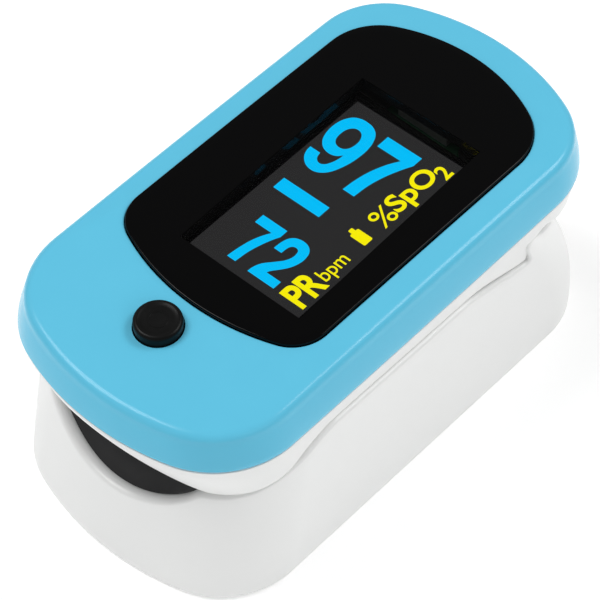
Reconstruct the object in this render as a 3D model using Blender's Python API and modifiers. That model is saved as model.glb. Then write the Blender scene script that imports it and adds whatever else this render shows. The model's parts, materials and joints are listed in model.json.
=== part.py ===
"""Fingertip pulse oximeter: two sprung jaws on a hinge pin, with a display, a button and two AAA cells.

Frame: +Z up, origin at the centre of the base. -Y is the end where the finger goes in, +Y is the
tail that is squeezed to open the jaws, and +X is the right-hand side seen from the finger end.
"""

import math

import bmesh
import bpy
from mathutils import Matrix, Vector

MM = 0.001

# Lower casing: its half width and end faces at the base, and how it draws in with height.
LOWER_HALF_WIDTH = 16.35 * MM
LOWER_FRONT = -30.65 * MM
LOWER_REAR = 30.93 * MM
LOWER_FRONT_SHAPE = (31.3 * MM, 9.75 * MM)  # radii in plan of the arched end and of its corners
LOWER_REAR_SHAPE = (33.4 * MM, 8.9 * MM)
SIDE_DRAFT = 0.0196  # inward lean of the long sides, per unit of height
FRONT_DRAFT = 0.17
REAR_CORNER_DRAFT = 0.12
REAR_SWEEP = 22.0 * MM  # radius of the tail's side profile
WALL = 1.5 * MM
BASE_EDGE = 0.7 * MM
CASING_LEVELS = [level * MM for level in (0.7, 5.0, 9.0, 13.0, 16.5, 19.4, 21.6)]

# Where the two jaws part, seen from the side.
SEAM = 19.0 * MM
DIP = 16.9 * MM  # the seam sinks this low just in front of the hinge ears
DIP_START = 6.0 * MM
DIP_END = 16.5 * MM
FRONT_DIP = 14.6 * MM  # and this low at the front corners
FRONT_DIP_START = -27.0 * MM
FRONT_DIP_END = -16.0 * MM
SEAM_GAP = 0.3 * MM
TAIL_TOP = 16.0 * MM
ARCH_RADIUS = 12.6 * MM  # the finger opening in the front wall
ARCH_BOTTOM = 9.6 * MM
UPPER_ARCH_RADIUS = 14.0 * MM  # and its upper edge
UPPER_ARCH_TOP = 19.75 * MM

# Hinge
PIVOT_Y = 18.0 * MM
PIVOT_Z = 17.3 * MM
EAR_RADIUS = 2.6 * MM
PIN_RADIUS = 1.0 * MM
PIN_HALF_LENGTH = 14.85 * MM
RUNNING_GAP = 0.1 * MM
CHEEK_INNER = 11.4 * MM
CHEEK_OUTER = 12.9 * MM
LUG_RADIUS = 2.6 * MM
NOTCH_RADIUS = 3.0 * MM

# Upper casing
COVER_HALF_WIDTH = 16.08 * MM
COVER_FRONT = -30.93 * MM
COVER_REAR = 29.82 * MM
COVER_FRONT_SHAPE = (29.4 * MM, 10.05 * MM)
COVER_REAR_SHAPE = (25.3 * MM, 9.3 * MM)
COVER_CENTRE = -0.95 * MM
COVER_HALF_LENGTH = 30.0 * MM
COVER_WALL = 1.4 * MM
COVER_TOP_WALL = 1.2 * MM
RIM_HEIGHT = 22.1 * MM
CROWN_HEIGHT = 27.3 * MM
SHOULDER = 0.4 * MM  # how far the cover's rounded edge lies below its crown
SKIRT_BOTTOM = 19.7 * MM  # behind the hinge; in front it follows the seam
SKIRT_INSET = 0.35 * MM
SKIRT_WALL = 1.3 * MM
FLOOR_BOTTOM = 21.5 * MM
FLOOR_TOP = 22.3 * MM
LIP_RISE = 0.7 * MM

# Window, display and button
WINDOW_HALF_WIDTH = 12.36 * MM
WINDOW_FRONT = -17.35 * MM
WINDOW_REAR = 24.74 * MM
LENS_GAP = 0.12 * MM
LENS_RAISE = 0.35 * MM
LENS_BEVEL = 0.15 * MM
LEDGE_DEPTH = 0.85 * MM
LEDGE_WIDTH = 0.8 * MM
VIEW_CENTRE = (0.95 * MM, 1.25 * MM)
VIEW_HALF = (6.8 * MM, 12.2 * MM)
MODULE_CENTRE_X = -0.6 * MM
MODULE_SIZE = (19.6 * MM, 27.4 * MM, 1.4 * MM)
MODULE_BOTTOM = 23.55 * MM
BUTTON_Y = -21.05 * MM
BUTTON_RADIUS = 2.38 * MM
BUTTON_HOLE_RADIUS = 2.5 * MM
BUTTON_FLANGE_RADIUS = 3.1 * MM
BUTTON_RAISE = 1.0 * MM
STEM_DEPTH = 2.23 * MM

# Circuit board and the optics on the centre line of the finger channel
BOARD_BOTTOM = 22.5 * MM
BOARD_THICKNESS = 0.8 * MM
BOARD_TOP = BOARD_BOTTOM + BOARD_THICKNESS
BOARD_INSET = 3.2 * MM
BOARD_REAR = 21.4 * MM
OPTIC_Y = -6.0 * MM

# Finger channel
CHANNEL_BOTTOM = 13.7 * MM
CHANNEL_MOUTH = 10.0 * MM
CHANNEL_EDGE = 18.8 * MM
CHANNEL_HALF_WIDTH = 12.9 * MM
CHANNEL_ROOF = 20.4 * MM
ROOF_DROP = 0.9 * MM
PAD_THICKNESS = 1.0 * MM
PAD_GAP = 0.4 * MM
CARRIER_THICKNESS = 0.8 * MM
PAD_REAR = 3.4 * MM
CARRIER_REAR = 25.6 * MM
SHELF_RISE = 0.6 * MM  # the carrier's level behind the pad, above the channel's bottom

# AAA cells and their bay
CELL_RADIUS = 5.2 * MM
CELL_LENGTH = 44.5 * MM
NUB_RADIUS = 1.9 * MM
NUB_HEIGHT = 0.8 * MM
CELL_X = 5.6 * MM
CELL_Z = 6.75 * MM
LEFT_CELL_START = -20.2 * MM
RIGHT_CELL_START = -22.0 * MM
CONTACT_FRONT = -22.6 * MM
CONTACT_REAR = 24.6 * MM
CONTACT_THICKNESS = 0.3 * MM

# Battery door: a flat slide with hooks at its sides and a lip that closes the tail
DOOR_HALF_WIDTH = 11.6 * MM
DOOR_FRONT = -21.2 * MM
DOOR_THICKNESS = 1.2 * MM
DOOR_RECESS = 0.15 * MM
DOOR_LIP_TOP = 2.9 * MM
DOOR_GAP = 0.3 * MM
HOOK_REACH = 0.8 * MM

SCREW_RADIUS = 0.8 * MM
SCREW_HEAD_RADIUS = 1.5 * MM
TAIL_SCREW = (7.2 * MM, 23.3 * MM)
BASE_SCREW = (8.5 * MM, -25.6 * MM)

for old in list(bpy.data.objects):
    bpy.data.objects.remove(old, do_unlink=True)
PARTS = bpy.data.collections.new("pulse_oximeter")
CUTTERS = bpy.data.collections.new("cutters")
for collection in (PARTS, CUTTERS):
    bpy.context.scene.collection.children.link(collection)


# ---------------------------------------------------------------- materials


def plastic(name, colour, roughness, metallic=0.0):
    made = bpy.data.materials.new(name)
    made.use_nodes = True
    shader = made.node_tree.nodes["Principled BSDF"]
    shader.inputs["Base Color"].default_value = (*colour, 1.0)
    shader.inputs["Roughness"].default_value = roughness
    shader.inputs["Metallic"].default_value = metallic
    return made


BLUE = plastic("cover_blue", (0.13, 0.56, 0.80), 0.25)
WHITE = plastic("housing_white", (0.80, 0.81, 0.80), 0.30)
LENS_BLACK = plastic("lens_black", (0.004, 0.004, 0.005), 0.05)
GLASS_DARK = plastic("display_glass", (0.02, 0.02, 0.022), 0.10)
BUTTON_BLACK = plastic("button_black", (0.009, 0.009, 0.010), 0.40)
RUBBER = plastic("pad_rubber", (0.030, 0.030, 0.031), 0.60)
FOAM = plastic("gasket_foam", (0.012, 0.012, 0.012), 0.90)
BOARD_GREEN = plastic("board_green", (0.015, 0.16, 0.06), 0.45)
CHIP = plastic("chip_black", (0.02, 0.02, 0.02), 0.50)
CLEAR = plastic("clear_resin", (0.75, 0.80, 0.82), 0.08)
STEEL = plastic("spring_steel", (0.60, 0.60, 0.62), 0.28, 1.0)
NICKEL = plastic("nickel_contact", (0.70, 0.68, 0.62), 0.25, 1.0)
CELL_WRAP = plastic("cell_wrap", (0.10, 0.11, 0.13), 0.35)
POLYIMIDE = plastic("flex_polyimide", (0.62, 0.27, 0.04), 0.40)


# ---------------------------------------------------------------- modelling tools


def place(obj, name, material, collection=PARTS):
    """Names the object, gives it its one material and files it in a collection."""
    obj.name = name
    obj.data.name = name
    for home in list(obj.users_collection):
        home.objects.unlink(obj)
    collection.objects.link(obj)
    obj.data.materials.clear()
    obj.data.materials.append(material)
    return obj


def smooth(obj, degrees=35.0):
    obj.data.shade_smooth()
    obj.data.set_sharp_from_angle(angle=math.radians(degrees))
    return obj


def box(name, material, low, high, bevel=0.0):
    """A block between two opposite corners."""
    low, high = Vector(low), Vector(high)
    bpy.ops.mesh.primitive_cube_add(size=1.0, location=(low + high) / 2)
    made = bpy.context.object
    made.data.transform(Matrix.Diagonal((*(high - low), 1.0)))
    place(made, name, material)
    if bevel:
        edges = made.modifiers.new("edges", "BEVEL")
        edges.width = bevel
        edges.segments = 1
    return made


def cylinder(name, material, radius, start, end, sides=24):
    """A round bar from one point to another."""
    start, end = Vector(start), Vector(end)
    bpy.ops.mesh.primitive_cylinder_add(vertices=sides, radius=radius, depth=(end - start).length)
    made = bpy.context.object
    made.rotation_mode = "QUATERNION"
    made.rotation_quaternion = (end - start).to_track_quat("Z", "Y")
    made.location = (start + end) / 2
    return smooth(place(made, name, material))


def turned(name, material, profile, steps=20):
    """A turned piece about its own Z: the profile is (radius, height) from the top of the axis down."""
    mesh = bpy.data.meshes.new(name)
    count = len(profile)
    mesh.from_pydata([(r, 0.0, z) for r, z in profile], [(i, i + 1) for i in range(count - 1)], [])
    made = bpy.data.objects.new(name, mesh)
    place(made, name, material)
    spin = made.modifiers.new("turn", "SCREW")
    spin.axis = "Z"
    spin.steps = spin.render_steps = steps
    spin.use_merge_vertices = True
    spin.merge_threshold = 0.00001
    return made


def curve_object(name, points, dimensions, cyclic):
    data = bpy.data.curves.new(name, "CURVE")
    data.dimensions = dimensions
    for loop in points:
        spline = data.splines.new("POLY")
        spline.points.add(len(loop) - 1)
        for point, co in zip(spline.points, loop):
            point.co = (*co, 0.0, 1.0) if len(co) == 2 else (*co, 1.0)
        spline.use_cyclic_u = cyclic
    made = bpy.data.objects.new(name, data)
    bpy.context.scene.collection.objects.link(made)
    return made


def wire(name, material, points, radius):
    """A round wire bent along the points."""
    made = curve_object(name, [points], "3D", cyclic=False)
    made.data.bevel_depth = radius
    made.data.bevel_resolution = 2
    made.data.use_fill_caps = True
    return place(made, name, material)


def sheet(name, material, loops, low, high, axis="Z"):
    """A flat piece: closed 2D loops, the first its outline and the rest holes, from low to high along the axis.
    On axis Z the loops hold (x, y), on X (y, z) and on Y (x, z)."""
    guide = curve_object(name, loops, "2D", cyclic=True)
    guide.data.fill_mode = "BOTH"
    guide.data.extrude = (high - low) / 2
    middle = (high + low) / 2
    if axis == "X":
        turn = Matrix(((0, 0, 1), (1, 0, 0), (0, 1, 0))).to_4x4()
        guide.matrix_world = Matrix.Translation((middle, 0, 0)) @ turn
    elif axis == "Y":
        turn = Matrix(((1, 0, 0), (0, 0, -1), (0, 1, 0))).to_4x4()
        guide.matrix_world = Matrix.Translation((0, middle, 0)) @ turn
    else:
        guide.matrix_world = Matrix.Translation((0, 0, middle))
    bpy.context.view_layer.update()
    graph = bpy.context.evaluated_depsgraph_get()
    mesh = bpy.data.meshes.new_from_object(guide.evaluated_get(graph))
    made = bpy.data.objects.new(name, mesh)
    made.matrix_world = guide.matrix_world
    bpy.data.objects.remove(guide)
    welding = bmesh.new()
    welding.from_mesh(mesh)
    bmesh.ops.remove_doubles(welding, verts=welding.verts, dist=0.000001)
    bmesh.ops.recalc_face_normals(welding, faces=welding.faces)
    welding.to_mesh(mesh)
    welding.free()
    return place(made, name, material)


def loft(name, material, rings, closed=False):
    """A skin through rings of points, in order. Its ends are capped, or joined when closed.
    Each ring starts on the centre line at the front, so that point i mirrors point count - i."""
    build = bmesh.new()
    corners = [[build.verts.new(point) for point in ring] for ring in rings]
    count = len(rings[0])
    for here, there in zip(corners, corners[1:] + (corners[:1] if closed else [])):
        for i in range(count):
            after = (i + 1) % count
            build.faces.new((here[i], here[after], there[after], there[i]))
    if not closed:
        cap_across(build, corners[0])
        cap_across(build, corners[-1])
    bmesh.ops.recalc_face_normals(build, faces=build.faces)
    mesh = bpy.data.meshes.new(name)
    build.to_mesh(mesh)
    build.free()
    return smooth(place(bpy.data.objects.new(name, mesh), name, material))


def cap_across(build, ring):
    """Closes a ring with strips from side to side, so that the cap follows a height that varies along Y."""
    count = len(ring)
    build.faces.new((ring[0], ring[1], ring[-1]))
    for i in range(1, count // 2 - 1):
        build.faces.new((ring[i], ring[i + 1], ring[count - i - 1], ring[count - i]))
    middle = count // 2
    build.faces.new((ring[middle - 1], ring[middle], ring[middle + 1]))


def helper(obj):
    """Turns an object into a cutter, which isn't part of the model."""
    for home in list(obj.users_collection):
        home.objects.unlink(obj)
    CUTTERS.objects.link(obj)
    obj.hide_render = True
    obj.display_type = "WIRE"
    return obj


def boolean(obj, other, operation):
    change = obj.modifiers.new(f"{operation.lower()}_{other.name}", "BOOLEAN")
    change.operation = operation
    change.object = helper(other)
    return obj


def cut(obj, *cutters):
    for cutter in cutters:
        boolean(obj, cutter, "DIFFERENCE")
    return obj


def join(obj, *others):
    for other in others:
        boolean(obj, other, "UNION")
    return obj


# ---------------------------------------------------------------- plan outlines and heights


def end_curve(half_width, reach, bulge, corner, end_steps=4, corner_steps=5):
    """From the centre of an arched end round its corner to the straight side, as (x, distance) points."""
    fillet_x = half_width - corner
    arch_centre = reach - bulge
    fillet_y = arch_centre + math.sqrt((bulge - corner) ** 2 - fillet_x**2)
    meet = math.atan2(fillet_y - arch_centre, fillet_x)
    points = []
    for i in range(end_steps):
        angle = math.pi / 2 + (meet - math.pi / 2) * i / end_steps
        points.append((bulge * math.cos(angle), arch_centre + bulge * math.sin(angle)))
    for i in range(corner_steps + 1):
        angle = meet * (1 - i / corner_steps)
        points.append((fillet_x + corner * math.cos(angle), fillet_y + corner * math.sin(angle)))
    return points


def outline(half_width, front, rear, front_shape, rear_shape, side_steps=4):
    """A closed plan outline: arched ends, round corners and straight sides. It starts at the front's
    centre and runs along the +X side. A shape is (bulge radius, corner radius)."""
    near = [(x, -d) for x, d in end_curve(half_width, -front, *front_shape)]
    far = [(x, d) for x, d in end_curve(half_width, rear, *rear_shape)][::-1]
    side_start, side_end = near[-1][1], far[0][1]
    side = [
        (half_width, side_start + (side_end - side_start) * i / side_steps)
        for i in range(1, side_steps)
    ]
    right = near + side + far
    left = [(-x, y) for x, y in right[-2:0:-1]]
    return right + left


def lower_outline(height, inset=0.0):
    """The lower casing's outline at a height, drawn in by the drafts, the swept tail and an inset."""
    half_width = LOWER_HALF_WIDTH - SIDE_DRAFT * height - inset
    front = LOWER_FRONT + FRONT_DRAFT * height + inset
    rear = LOWER_REAR - height**2 / (2 * REAR_SWEEP) - inset
    front_shape = [radius - inset for radius in LOWER_FRONT_SHAPE]
    rear_shape = [radius - inset for radius in LOWER_REAR_SHAPE]
    rear_shape[1] -= REAR_CORNER_DRAFT * height
    return outline(half_width, front, rear, front_shape, rear_shape)


def cover_outline(inset=0.0):
    front_shape = [radius - inset for radius in COVER_FRONT_SHAPE]
    rear_shape = [radius - inset for radius in COVER_REAR_SHAPE]
    front, rear = COVER_FRONT + inset, COVER_REAR - inset
    return outline(COVER_HALF_WIDTH - inset, front, rear, front_shape, rear_shape)


def window_outline(inset=0.0):
    front_shape = (25.7 * MM - inset, 4.3 * MM - inset)
    rear_shape = (18.9 * MM - inset, 6.8 * MM - inset)
    half_width = WINDOW_HALF_WIDTH - inset
    return outline(half_width, WINDOW_FRONT + inset, WINDOW_REAR - inset, front_shape, rear_shape)


def crown(y):
    """Height of the cover's top: it climbs towards the tail and is slightly domed."""
    share = (y - COVER_CENTRE) / COVER_HALF_LENGTH
    return CROWN_HEIGHT + 0.9 * MM * share - 0.28 * MM * share**2


def rim(y):
    """Height of the cover's lower edge, which lifts towards both ends."""
    share = (y - COVER_CENTRE) / COVER_HALF_LENGTH
    return RIM_HEIGHT + 0.75 * MM * share + 0.42 * MM * share**2


def ring(plan, height):
    """An outline at a height, or at a height worked out from y."""
    rise = height if callable(height) else (lambda y: height)
    return [(x, y, rise(y)) for x, y in plan]


def ease(value, start, end):
    share = min(1.0, max(0.0, (value - start) / (end - start)))
    return share * share * (3 - 2 * share)


def channel_bed(y):
    """Height of the finger channel along its centre line, flaring down at the mouth."""
    return CHANNEL_MOUTH + (CHANNEL_BOTTOM - CHANNEL_MOUTH) * ease(y, -28.5 * MM, -21.0 * MM)


def pad_surface(x, y):
    """Top of the lower finger pad: a trough whose rear end turns up as a finger stop."""
    bed = channel_bed(y) + 3.6 * MM * ease(y, -2.0 * MM, PAD_REAR)
    return bed + (CHANNEL_EDGE - bed) * (x / CHANNEL_HALF_WIDTH) ** 2


def carrier_surface(x, y):
    """Top of the pad carrier: it backs the pad, then flattens into a shelf over the cells."""
    flat = ease(y, 2.0 * MM, 7.0 * MM)
    bed = channel_bed(y) + SHELF_RISE * flat
    side = (CHANNEL_EDGE - bed) * (x / CHANNEL_HALF_WIDTH) ** 2
    slope = 2 * (CHANNEL_EDGE - bed) * x / CHANNEL_HALF_WIDTH**2
    flare = (channel_bed(y + 0.5 * MM) - channel_bed(y - 0.5 * MM)) / MM
    drop = (PAD_THICKNESS + PAD_GAP) * math.sqrt(1 + slope**2 + flare**2)
    return bed + side * (1 - 0.95 * flat) - drop


def roof_surface(x, y):
    """Underside of the upper finger pad."""
    return CHANNEL_ROOF - ROOF_DROP * (x / (12.0 * MM)) ** 2


# ---------------------------------------------------------------- lower jaw


def casing_rings(inset, levels):
    return [ring(lower_outline(level, inset), level) for level in levels]


def lower_solid(name):
    """The lower casing's outer form with no hollow."""
    base = [
        ring(lower_outline(0.0, BASE_EDGE), 0.0),
        ring(lower_outline(0.0, BASE_EDGE * 0.3), BASE_EDGE * 0.3),
    ]
    return loft(name, WHITE, base + casing_rings(0.0, CASING_LEVELS))


def seam_line(rise, end):
    """The seam in side view, from the front to just before the hinge, raised by a gap."""
    points = [(-40 * MM, FRONT_DIP + rise)]
    for i in range(13):
        y = FRONT_DIP_START + (FRONT_DIP_END - FRONT_DIP_START) * i / 12
        points.append((y, FRONT_DIP + (SEAM - FRONT_DIP) * i * i / 144 * (3 - i / 6) + rise))
    for i in range(9):
        y = DIP_START + (end - DIP_START) * i / 8
        points.append((y, SEAM + (DIP - SEAM) * ease(y, DIP_START, DIP_END) + rise))
    return points


def seam_profile():
    """Side view of what is cut off the lower casing: the seam, its dips, the ear and the tail."""
    points = seam_line(0.0, PIVOT_Y - EAR_RADIUS)
    for i in range(13):
        angle = math.radians(180 - 180 * i / 12)
        y = PIVOT_Y + EAR_RADIUS * math.cos(angle)
        points.append((y, PIVOT_Z + EAR_RADIUS * math.sin(angle)))
    points += [(22.6 * MM, TAIL_TOP), (40 * MM, TAIL_TOP), (40 * MM, 30 * MM), (-40 * MM, 30 * MM)]
    return points


def make_lower_shell():
    base = [
        ring(lower_outline(0.0, BASE_EDGE), 0.0),
        ring(lower_outline(0.0, BASE_EDGE * 0.3), BASE_EDGE * 0.3),
    ]
    inner_levels = [WALL] + CASING_LEVELS[1:]
    rings = base + casing_rings(0.0, CASING_LEVELS) + casing_rings(WALL, inner_levels)[::-1]
    shell = loft("lower_shell", WHITE, rings)
    above = sheet("cut_above_seam", WHITE, [seam_profile()], -30 * MM, 30 * MM, axis="X")
    arch_z = ARCH_BOTTOM + ARCH_RADIUS
    arch = cylinder(
        "cut_arch", WHITE, ARCH_RADIUS, (0, -40 * MM, arch_z), (0, -20 * MM, arch_z), sides=64
    )
    edge = DOOR_HALF_WIDTH + DOOR_GAP
    door_bay = box(
        "cut_door_bay", WHITE, (-edge, DOOR_FRONT - DOOR_GAP, -1 * MM), (edge, 26 * MM, 3 * MM)
    )
    lip_edge = DOOR_HALF_WIDTH + HOOK_REACH + DOOR_GAP
    lip_bay = box(
        "cut_door_lip",
        WHITE,
        (-lip_edge, 24.5 * MM, -1 * MM),
        (lip_edge, 40 * MM, DOOR_LIP_TOP + DOOR_GAP),
    )
    pin_bore = cylinder(
        "cut_pin_bore",
        WHITE,
        PIN_RADIUS + RUNNING_GAP,
        (-PIN_HALF_LENGTH - RUNNING_GAP, PIVOT_Y, PIVOT_Z),
        (PIN_HALF_LENGTH + RUNNING_GAP, PIVOT_Y, PIVOT_Z),
    )
    cheek_room = box(
        "cut_cheek_room",
        WHITE,
        (-CHEEK_OUTER - 0.25 * MM, 9 * MM, 14 * MM),
        (CHEEK_OUTER + 0.25 * MM, 23.5 * MM, 25 * MM),
    )
    cut(shell, above, arch, door_bay, lip_bay, cheek_room, pin_bore)
    for side in (-1, 1):
        x, y = side * BASE_SCREW[0], BASE_SCREW[1]
        head_room = SCREW_HEAD_RADIUS + 0.3 * MM
        hole = SCREW_RADIUS + 0.15 * MM
        cut(
            shell,
            cylinder(f"cut_head_{side}", WHITE, head_room, (x, y, -1 * MM), (x, y, 1.0 * MM), 20),
            cylinder(f"cut_shank_{side}", WHITE, hole, (x, y, -1 * MM), (x, y, 3 * MM), 12),
        )
    return shell


def make_battery_door():
    """The door: cut from the casing's own outer form, so that its lip is flush with the tail."""
    door = lower_solid("battery_door")
    top = DOOR_RECESS + DOOR_THICKNESS
    plate = box(
        "keep_plate",
        WHITE,
        (-DOOR_HALF_WIDTH, DOOR_FRONT, DOOR_RECESS),
        (DOOR_HALF_WIDTH, 27 * MM, top),
    )
    lip_width = DOOR_HALF_WIDTH + HOOK_REACH
    lip_start = 29.2 * MM
    lip_base = box(
        "keep_lip_base", WHITE, (-lip_width, 26.2 * MM, DOOR_RECESS), (lip_width, 40 * MM, top)
    )
    lip = box(
        "keep_lip", WHITE, (-lip_width, lip_start, DOOR_RECESS), (lip_width, 40 * MM, DOOR_LIP_TOP)
    )
    join(plate, lip_base, lip)
    boolean(door, plate, "INTERSECT")
    root = DOOR_HALF_WIDTH - 0.8 * MM
    for number, start in enumerate((-19.0 * MM, -2.0 * MM, 15.0 * MM)):
        for side in (-1, 1):
            web_x = sorted((side * root, side * DOOR_HALF_WIDTH))
            hook_x = sorted((side * root, side * (DOOR_HALF_WIDTH + HOOK_REACH)))
            end = start + 5 * MM
            name = f"hook_{number}_{side}"
            join(
                door,
                box(f"web_{name}", WHITE, (web_x[0], start, 0.9 * MM), (web_x[1], end, 2.0 * MM)),
                box(name, WHITE, (hook_x[0], start, 1.75 * MM), (hook_x[1], end, 2.3 * MM)),
            )
    return door


def height_field(name, material, surface, thickness, half_width, front, rear, columns, rows):
    """A curved sheet over the finger channel, thickened away from the finger."""
    bpy.ops.mesh.primitive_grid_add(x_subdivisions=columns, y_subdivisions=rows, size=1.0)
    made = bpy.context.object
    for vert in made.data.vertices:
        x = vert.co.x * 2 * half_width
        y = front + (vert.co.y + 0.5) * (rear - front)
        vert.co = (x, y, surface(x, y))
    place(made, name, material)
    thick = made.modifiers.new("thickness", "SOLIDIFY")
    thick.thickness = abs(thickness)
    thick.offset = 1.0 if thickness > 0 else -1.0
    return smooth(made, 50)


def trim_to_casing(obj, name, level, clearance, rear):
    """Keeps what lies inside the lower casing's wall, short of a rear limit."""
    plan = lower_outline(level, WALL + clearance)
    plan = [(x, min(y, rear)) for x, y in plan]
    keep = sheet(name, WHITE, [dedupe(plan)], -5 * MM, 30 * MM)
    return boolean(obj, keep, "INTERSECT")


def dedupe(points):
    """Drops points that coincide, and points inside a straight run across the trimmed end."""
    kept = []
    for i, point in enumerate(points):
        before, after = points[i - 1], points[(i + 1) % len(points)]
        if abs(point[1] - before[1]) < 1e-9 and abs(point[1] - after[1]) < 1e-9:
            continue
        kept.append(point)
    return kept


def make_channel():
    """The lower finger pad, its carrier and the detector under its window."""
    pad = height_field(
        "lower_finger_pad",
        RUBBER,
        pad_surface,
        -PAD_THICKNESS,
        CHANNEL_HALF_WIDTH,
        -29.5 * MM,
        PAD_REAR,
        14,
        18,
    )
    trim_to_casing(pad, "keep_pad", 15 * MM, 0.35 * MM, PAD_REAR - 0.1 * MM)
    window_half = 3.1 * MM
    cut(pad, optic_hole("cut_pad_window", window_half, 10 * MM, 20 * MM))
    carrier = height_field(
        "pad_carrier",
        WHITE,
        carrier_surface,
        -CARRIER_THICKNESS,
        CHANNEL_HALF_WIDTH + 0.5 * MM,
        -29.5 * MM,
        CARRIER_REAR,
        10,
        20,
    )
    hole = SCREW_RADIUS + RUNNING_GAP
    for side in (-1, 1):
        x, y = side * BASE_SCREW[0], BASE_SCREW[1]
        top = carrier_surface(x, y) - 0.4 * MM
        join(carrier, cylinder(f"post_{side}", WHITE, 1.8 * MM, (x, y, 1.8 * MM), (x, y, top), 16))
    trim_to_casing(carrier, "keep_carrier", 16 * MM, 0.3 * MM, CARRIER_REAR - 0.1 * MM)
    for side in (-1, 1):
        x, y = side * BASE_SCREW[0], BASE_SCREW[1]
        cut(carrier, cylinder(f"cut_post_{side}", WHITE, hole, (x, y, 0), (x, y, 8.6 * MM), 12))
    cut(carrier, optic_hole("cut_carrier_window", 2.0 * MM, 8 * MM, 20 * MM))
    slot_half = 2.4 * MM
    slot = box("cut_flex", WHITE, (-slot_half, 11 * MM, 8 * MM), (slot_half, 15.2 * MM, 20 * MM))
    cut(carrier, slot)
    bed = CHANNEL_BOTTOM
    half = window_half - 0.25 * MM
    box(
        "detector_window",
        CLEAR,
        (-half, OPTIC_Y - half, bed - 0.95 * MM),
        (half, OPTIC_Y + half, bed - 0.1 * MM),
        bevel=0.15 * MM,
    )
    chip_half = 1.5 * MM
    box(
        "photodiode",
        CHIP,
        (-chip_half, OPTIC_Y - chip_half, 11.5 * MM),
        (chip_half, OPTIC_Y + chip_half, 12.3 * MM),
    )
    box("detector_board", BOARD_GREEN, (-2.1 * MM, -10.5 * MM, 10.85 * MM), (2.1 * MM, -1.5 * MM, 11.4 * MM))


def optic_hole(name, half, low, high):
    return box(name, WHITE, (-half, OPTIC_Y - half, low), (half, OPTIC_Y + half, high))


def make_cell(name, x, start, nub_to_rear):
    """An AAA cell lying along Y."""
    body = CELL_LENGTH - NUB_HEIGHT
    edge = 0.3 * MM
    profile = [
        (0.0, CELL_LENGTH),
        (NUB_RADIUS, CELL_LENGTH),
        (NUB_RADIUS, body),
        (CELL_RADIUS - edge, body),
        (CELL_RADIUS, body - edge),
        (CELL_RADIUS, edge),
        (CELL_RADIUS - edge, 0.0),
        (0.0, 0.0),
    ]
    cell = turned(name, CELL_WRAP, profile, 24)
    cell.location = (x, start if nub_to_rear else start + CELL_LENGTH, CELL_Z)
    cell.rotation_euler = (math.radians(-90 if nub_to_rear else 90), 0, 0)


def cone_coil(name, x, base, tip, turns=3, points_per_turn=8):
    """A conical contact spring along Y, from its wide base to its tip."""
    steps = turns * points_per_turn
    path = []
    for i in range(steps + 1):
        share = i / steps
        angle = 2 * math.pi * turns * share
        radius = (3.2 - 1.5 * share) * MM
        y = base + (tip - base) * share
        path.append((x + radius * math.cos(angle), y, CELL_Z + radius * math.sin(angle)))
    return wire(name, NICKEL, path, 0.22 * MM)


def make_cells():
    make_cell("battery_left", -CELL_X, LEFT_CELL_START, nub_to_rear=True)
    make_cell("battery_right", CELL_X, RIGHT_CELL_START, nub_to_rear=False)
    wire_room = 0.32 * MM
    cone_coil("front_negative_spring", -CELL_X, CONTACT_FRONT + wire_room, LEFT_CELL_START - wire_room)
    right_end = RIGHT_CELL_START + CELL_LENGTH
    cone_coil("rear_negative_spring", CELL_X, CONTACT_REAR - wire_room, right_end + wire_room)
    half = 3.6 * MM
    box(
        "front_positive_plate",
        NICKEL,
        (CELL_X - half, CONTACT_FRONT, CELL_Z - half),
        (CELL_X + half, CONTACT_FRONT + CONTACT_THICKNESS, CELL_Z + half),
    )
    box(
        "rear_bridge_plate",
        NICKEL,
        (-CELL_X - half, CONTACT_REAR, CELL_Z - half),
        (CELL_X + half, CONTACT_REAR + CONTACT_THICKNESS, CELL_Z + half),
    )


def make_battery_holder():
    """The end walls that carry the contacts, tied together by a spine between the cells."""
    half = 10.4 * MM
    bottom = 1.7 * MM
    front = CONTACT_FRONT - 0.2 * MM
    rear = CONTACT_REAR + CONTACT_THICKNESS + 0.2 * MM
    holder = box(
        "battery_holder", WHITE, (-half, front - 0.9 * MM, bottom), (half, front, 9.6 * MM)
    )
    join(
        holder,
        box("holder_rear", WHITE, (-half, rear, bottom), (half, rear + 0.9 * MM, 8.6 * MM)),
        box(
            "holder_spine",
            WHITE,
            (-0.9 * MM, front - 0.5 * MM, bottom),
            (0.9 * MM, rear + 0.5 * MM, 2.8 * MM),
        ),
    )


def torsion_spring(name, side):
    """A spring coiled round the pin whose two legs push the tails of the jaws apart."""
    radius = 1.85 * MM
    pitch = 0.85 * MM
    turns = 4.5
    points_per_turn = 9
    steps = round(turns * points_per_turn)
    first_x = 4.2 * MM
    path = [(side * first_x, 24.4 * MM, 20.7 * MM)]
    for i in range(steps + 1):
        share = i / points_per_turn
        angle = math.pi / 2 + 2 * math.pi * share
        x = side * (first_x + pitch * share)
        path.append((x, PIVOT_Y + radius * math.cos(angle), PIVOT_Z + radius * math.sin(angle)))
    path.append((path[-1][0], 23.6 * MM, 13.9 * MM))
    wire(name, STEEL, path, 0.35 * MM)


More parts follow.
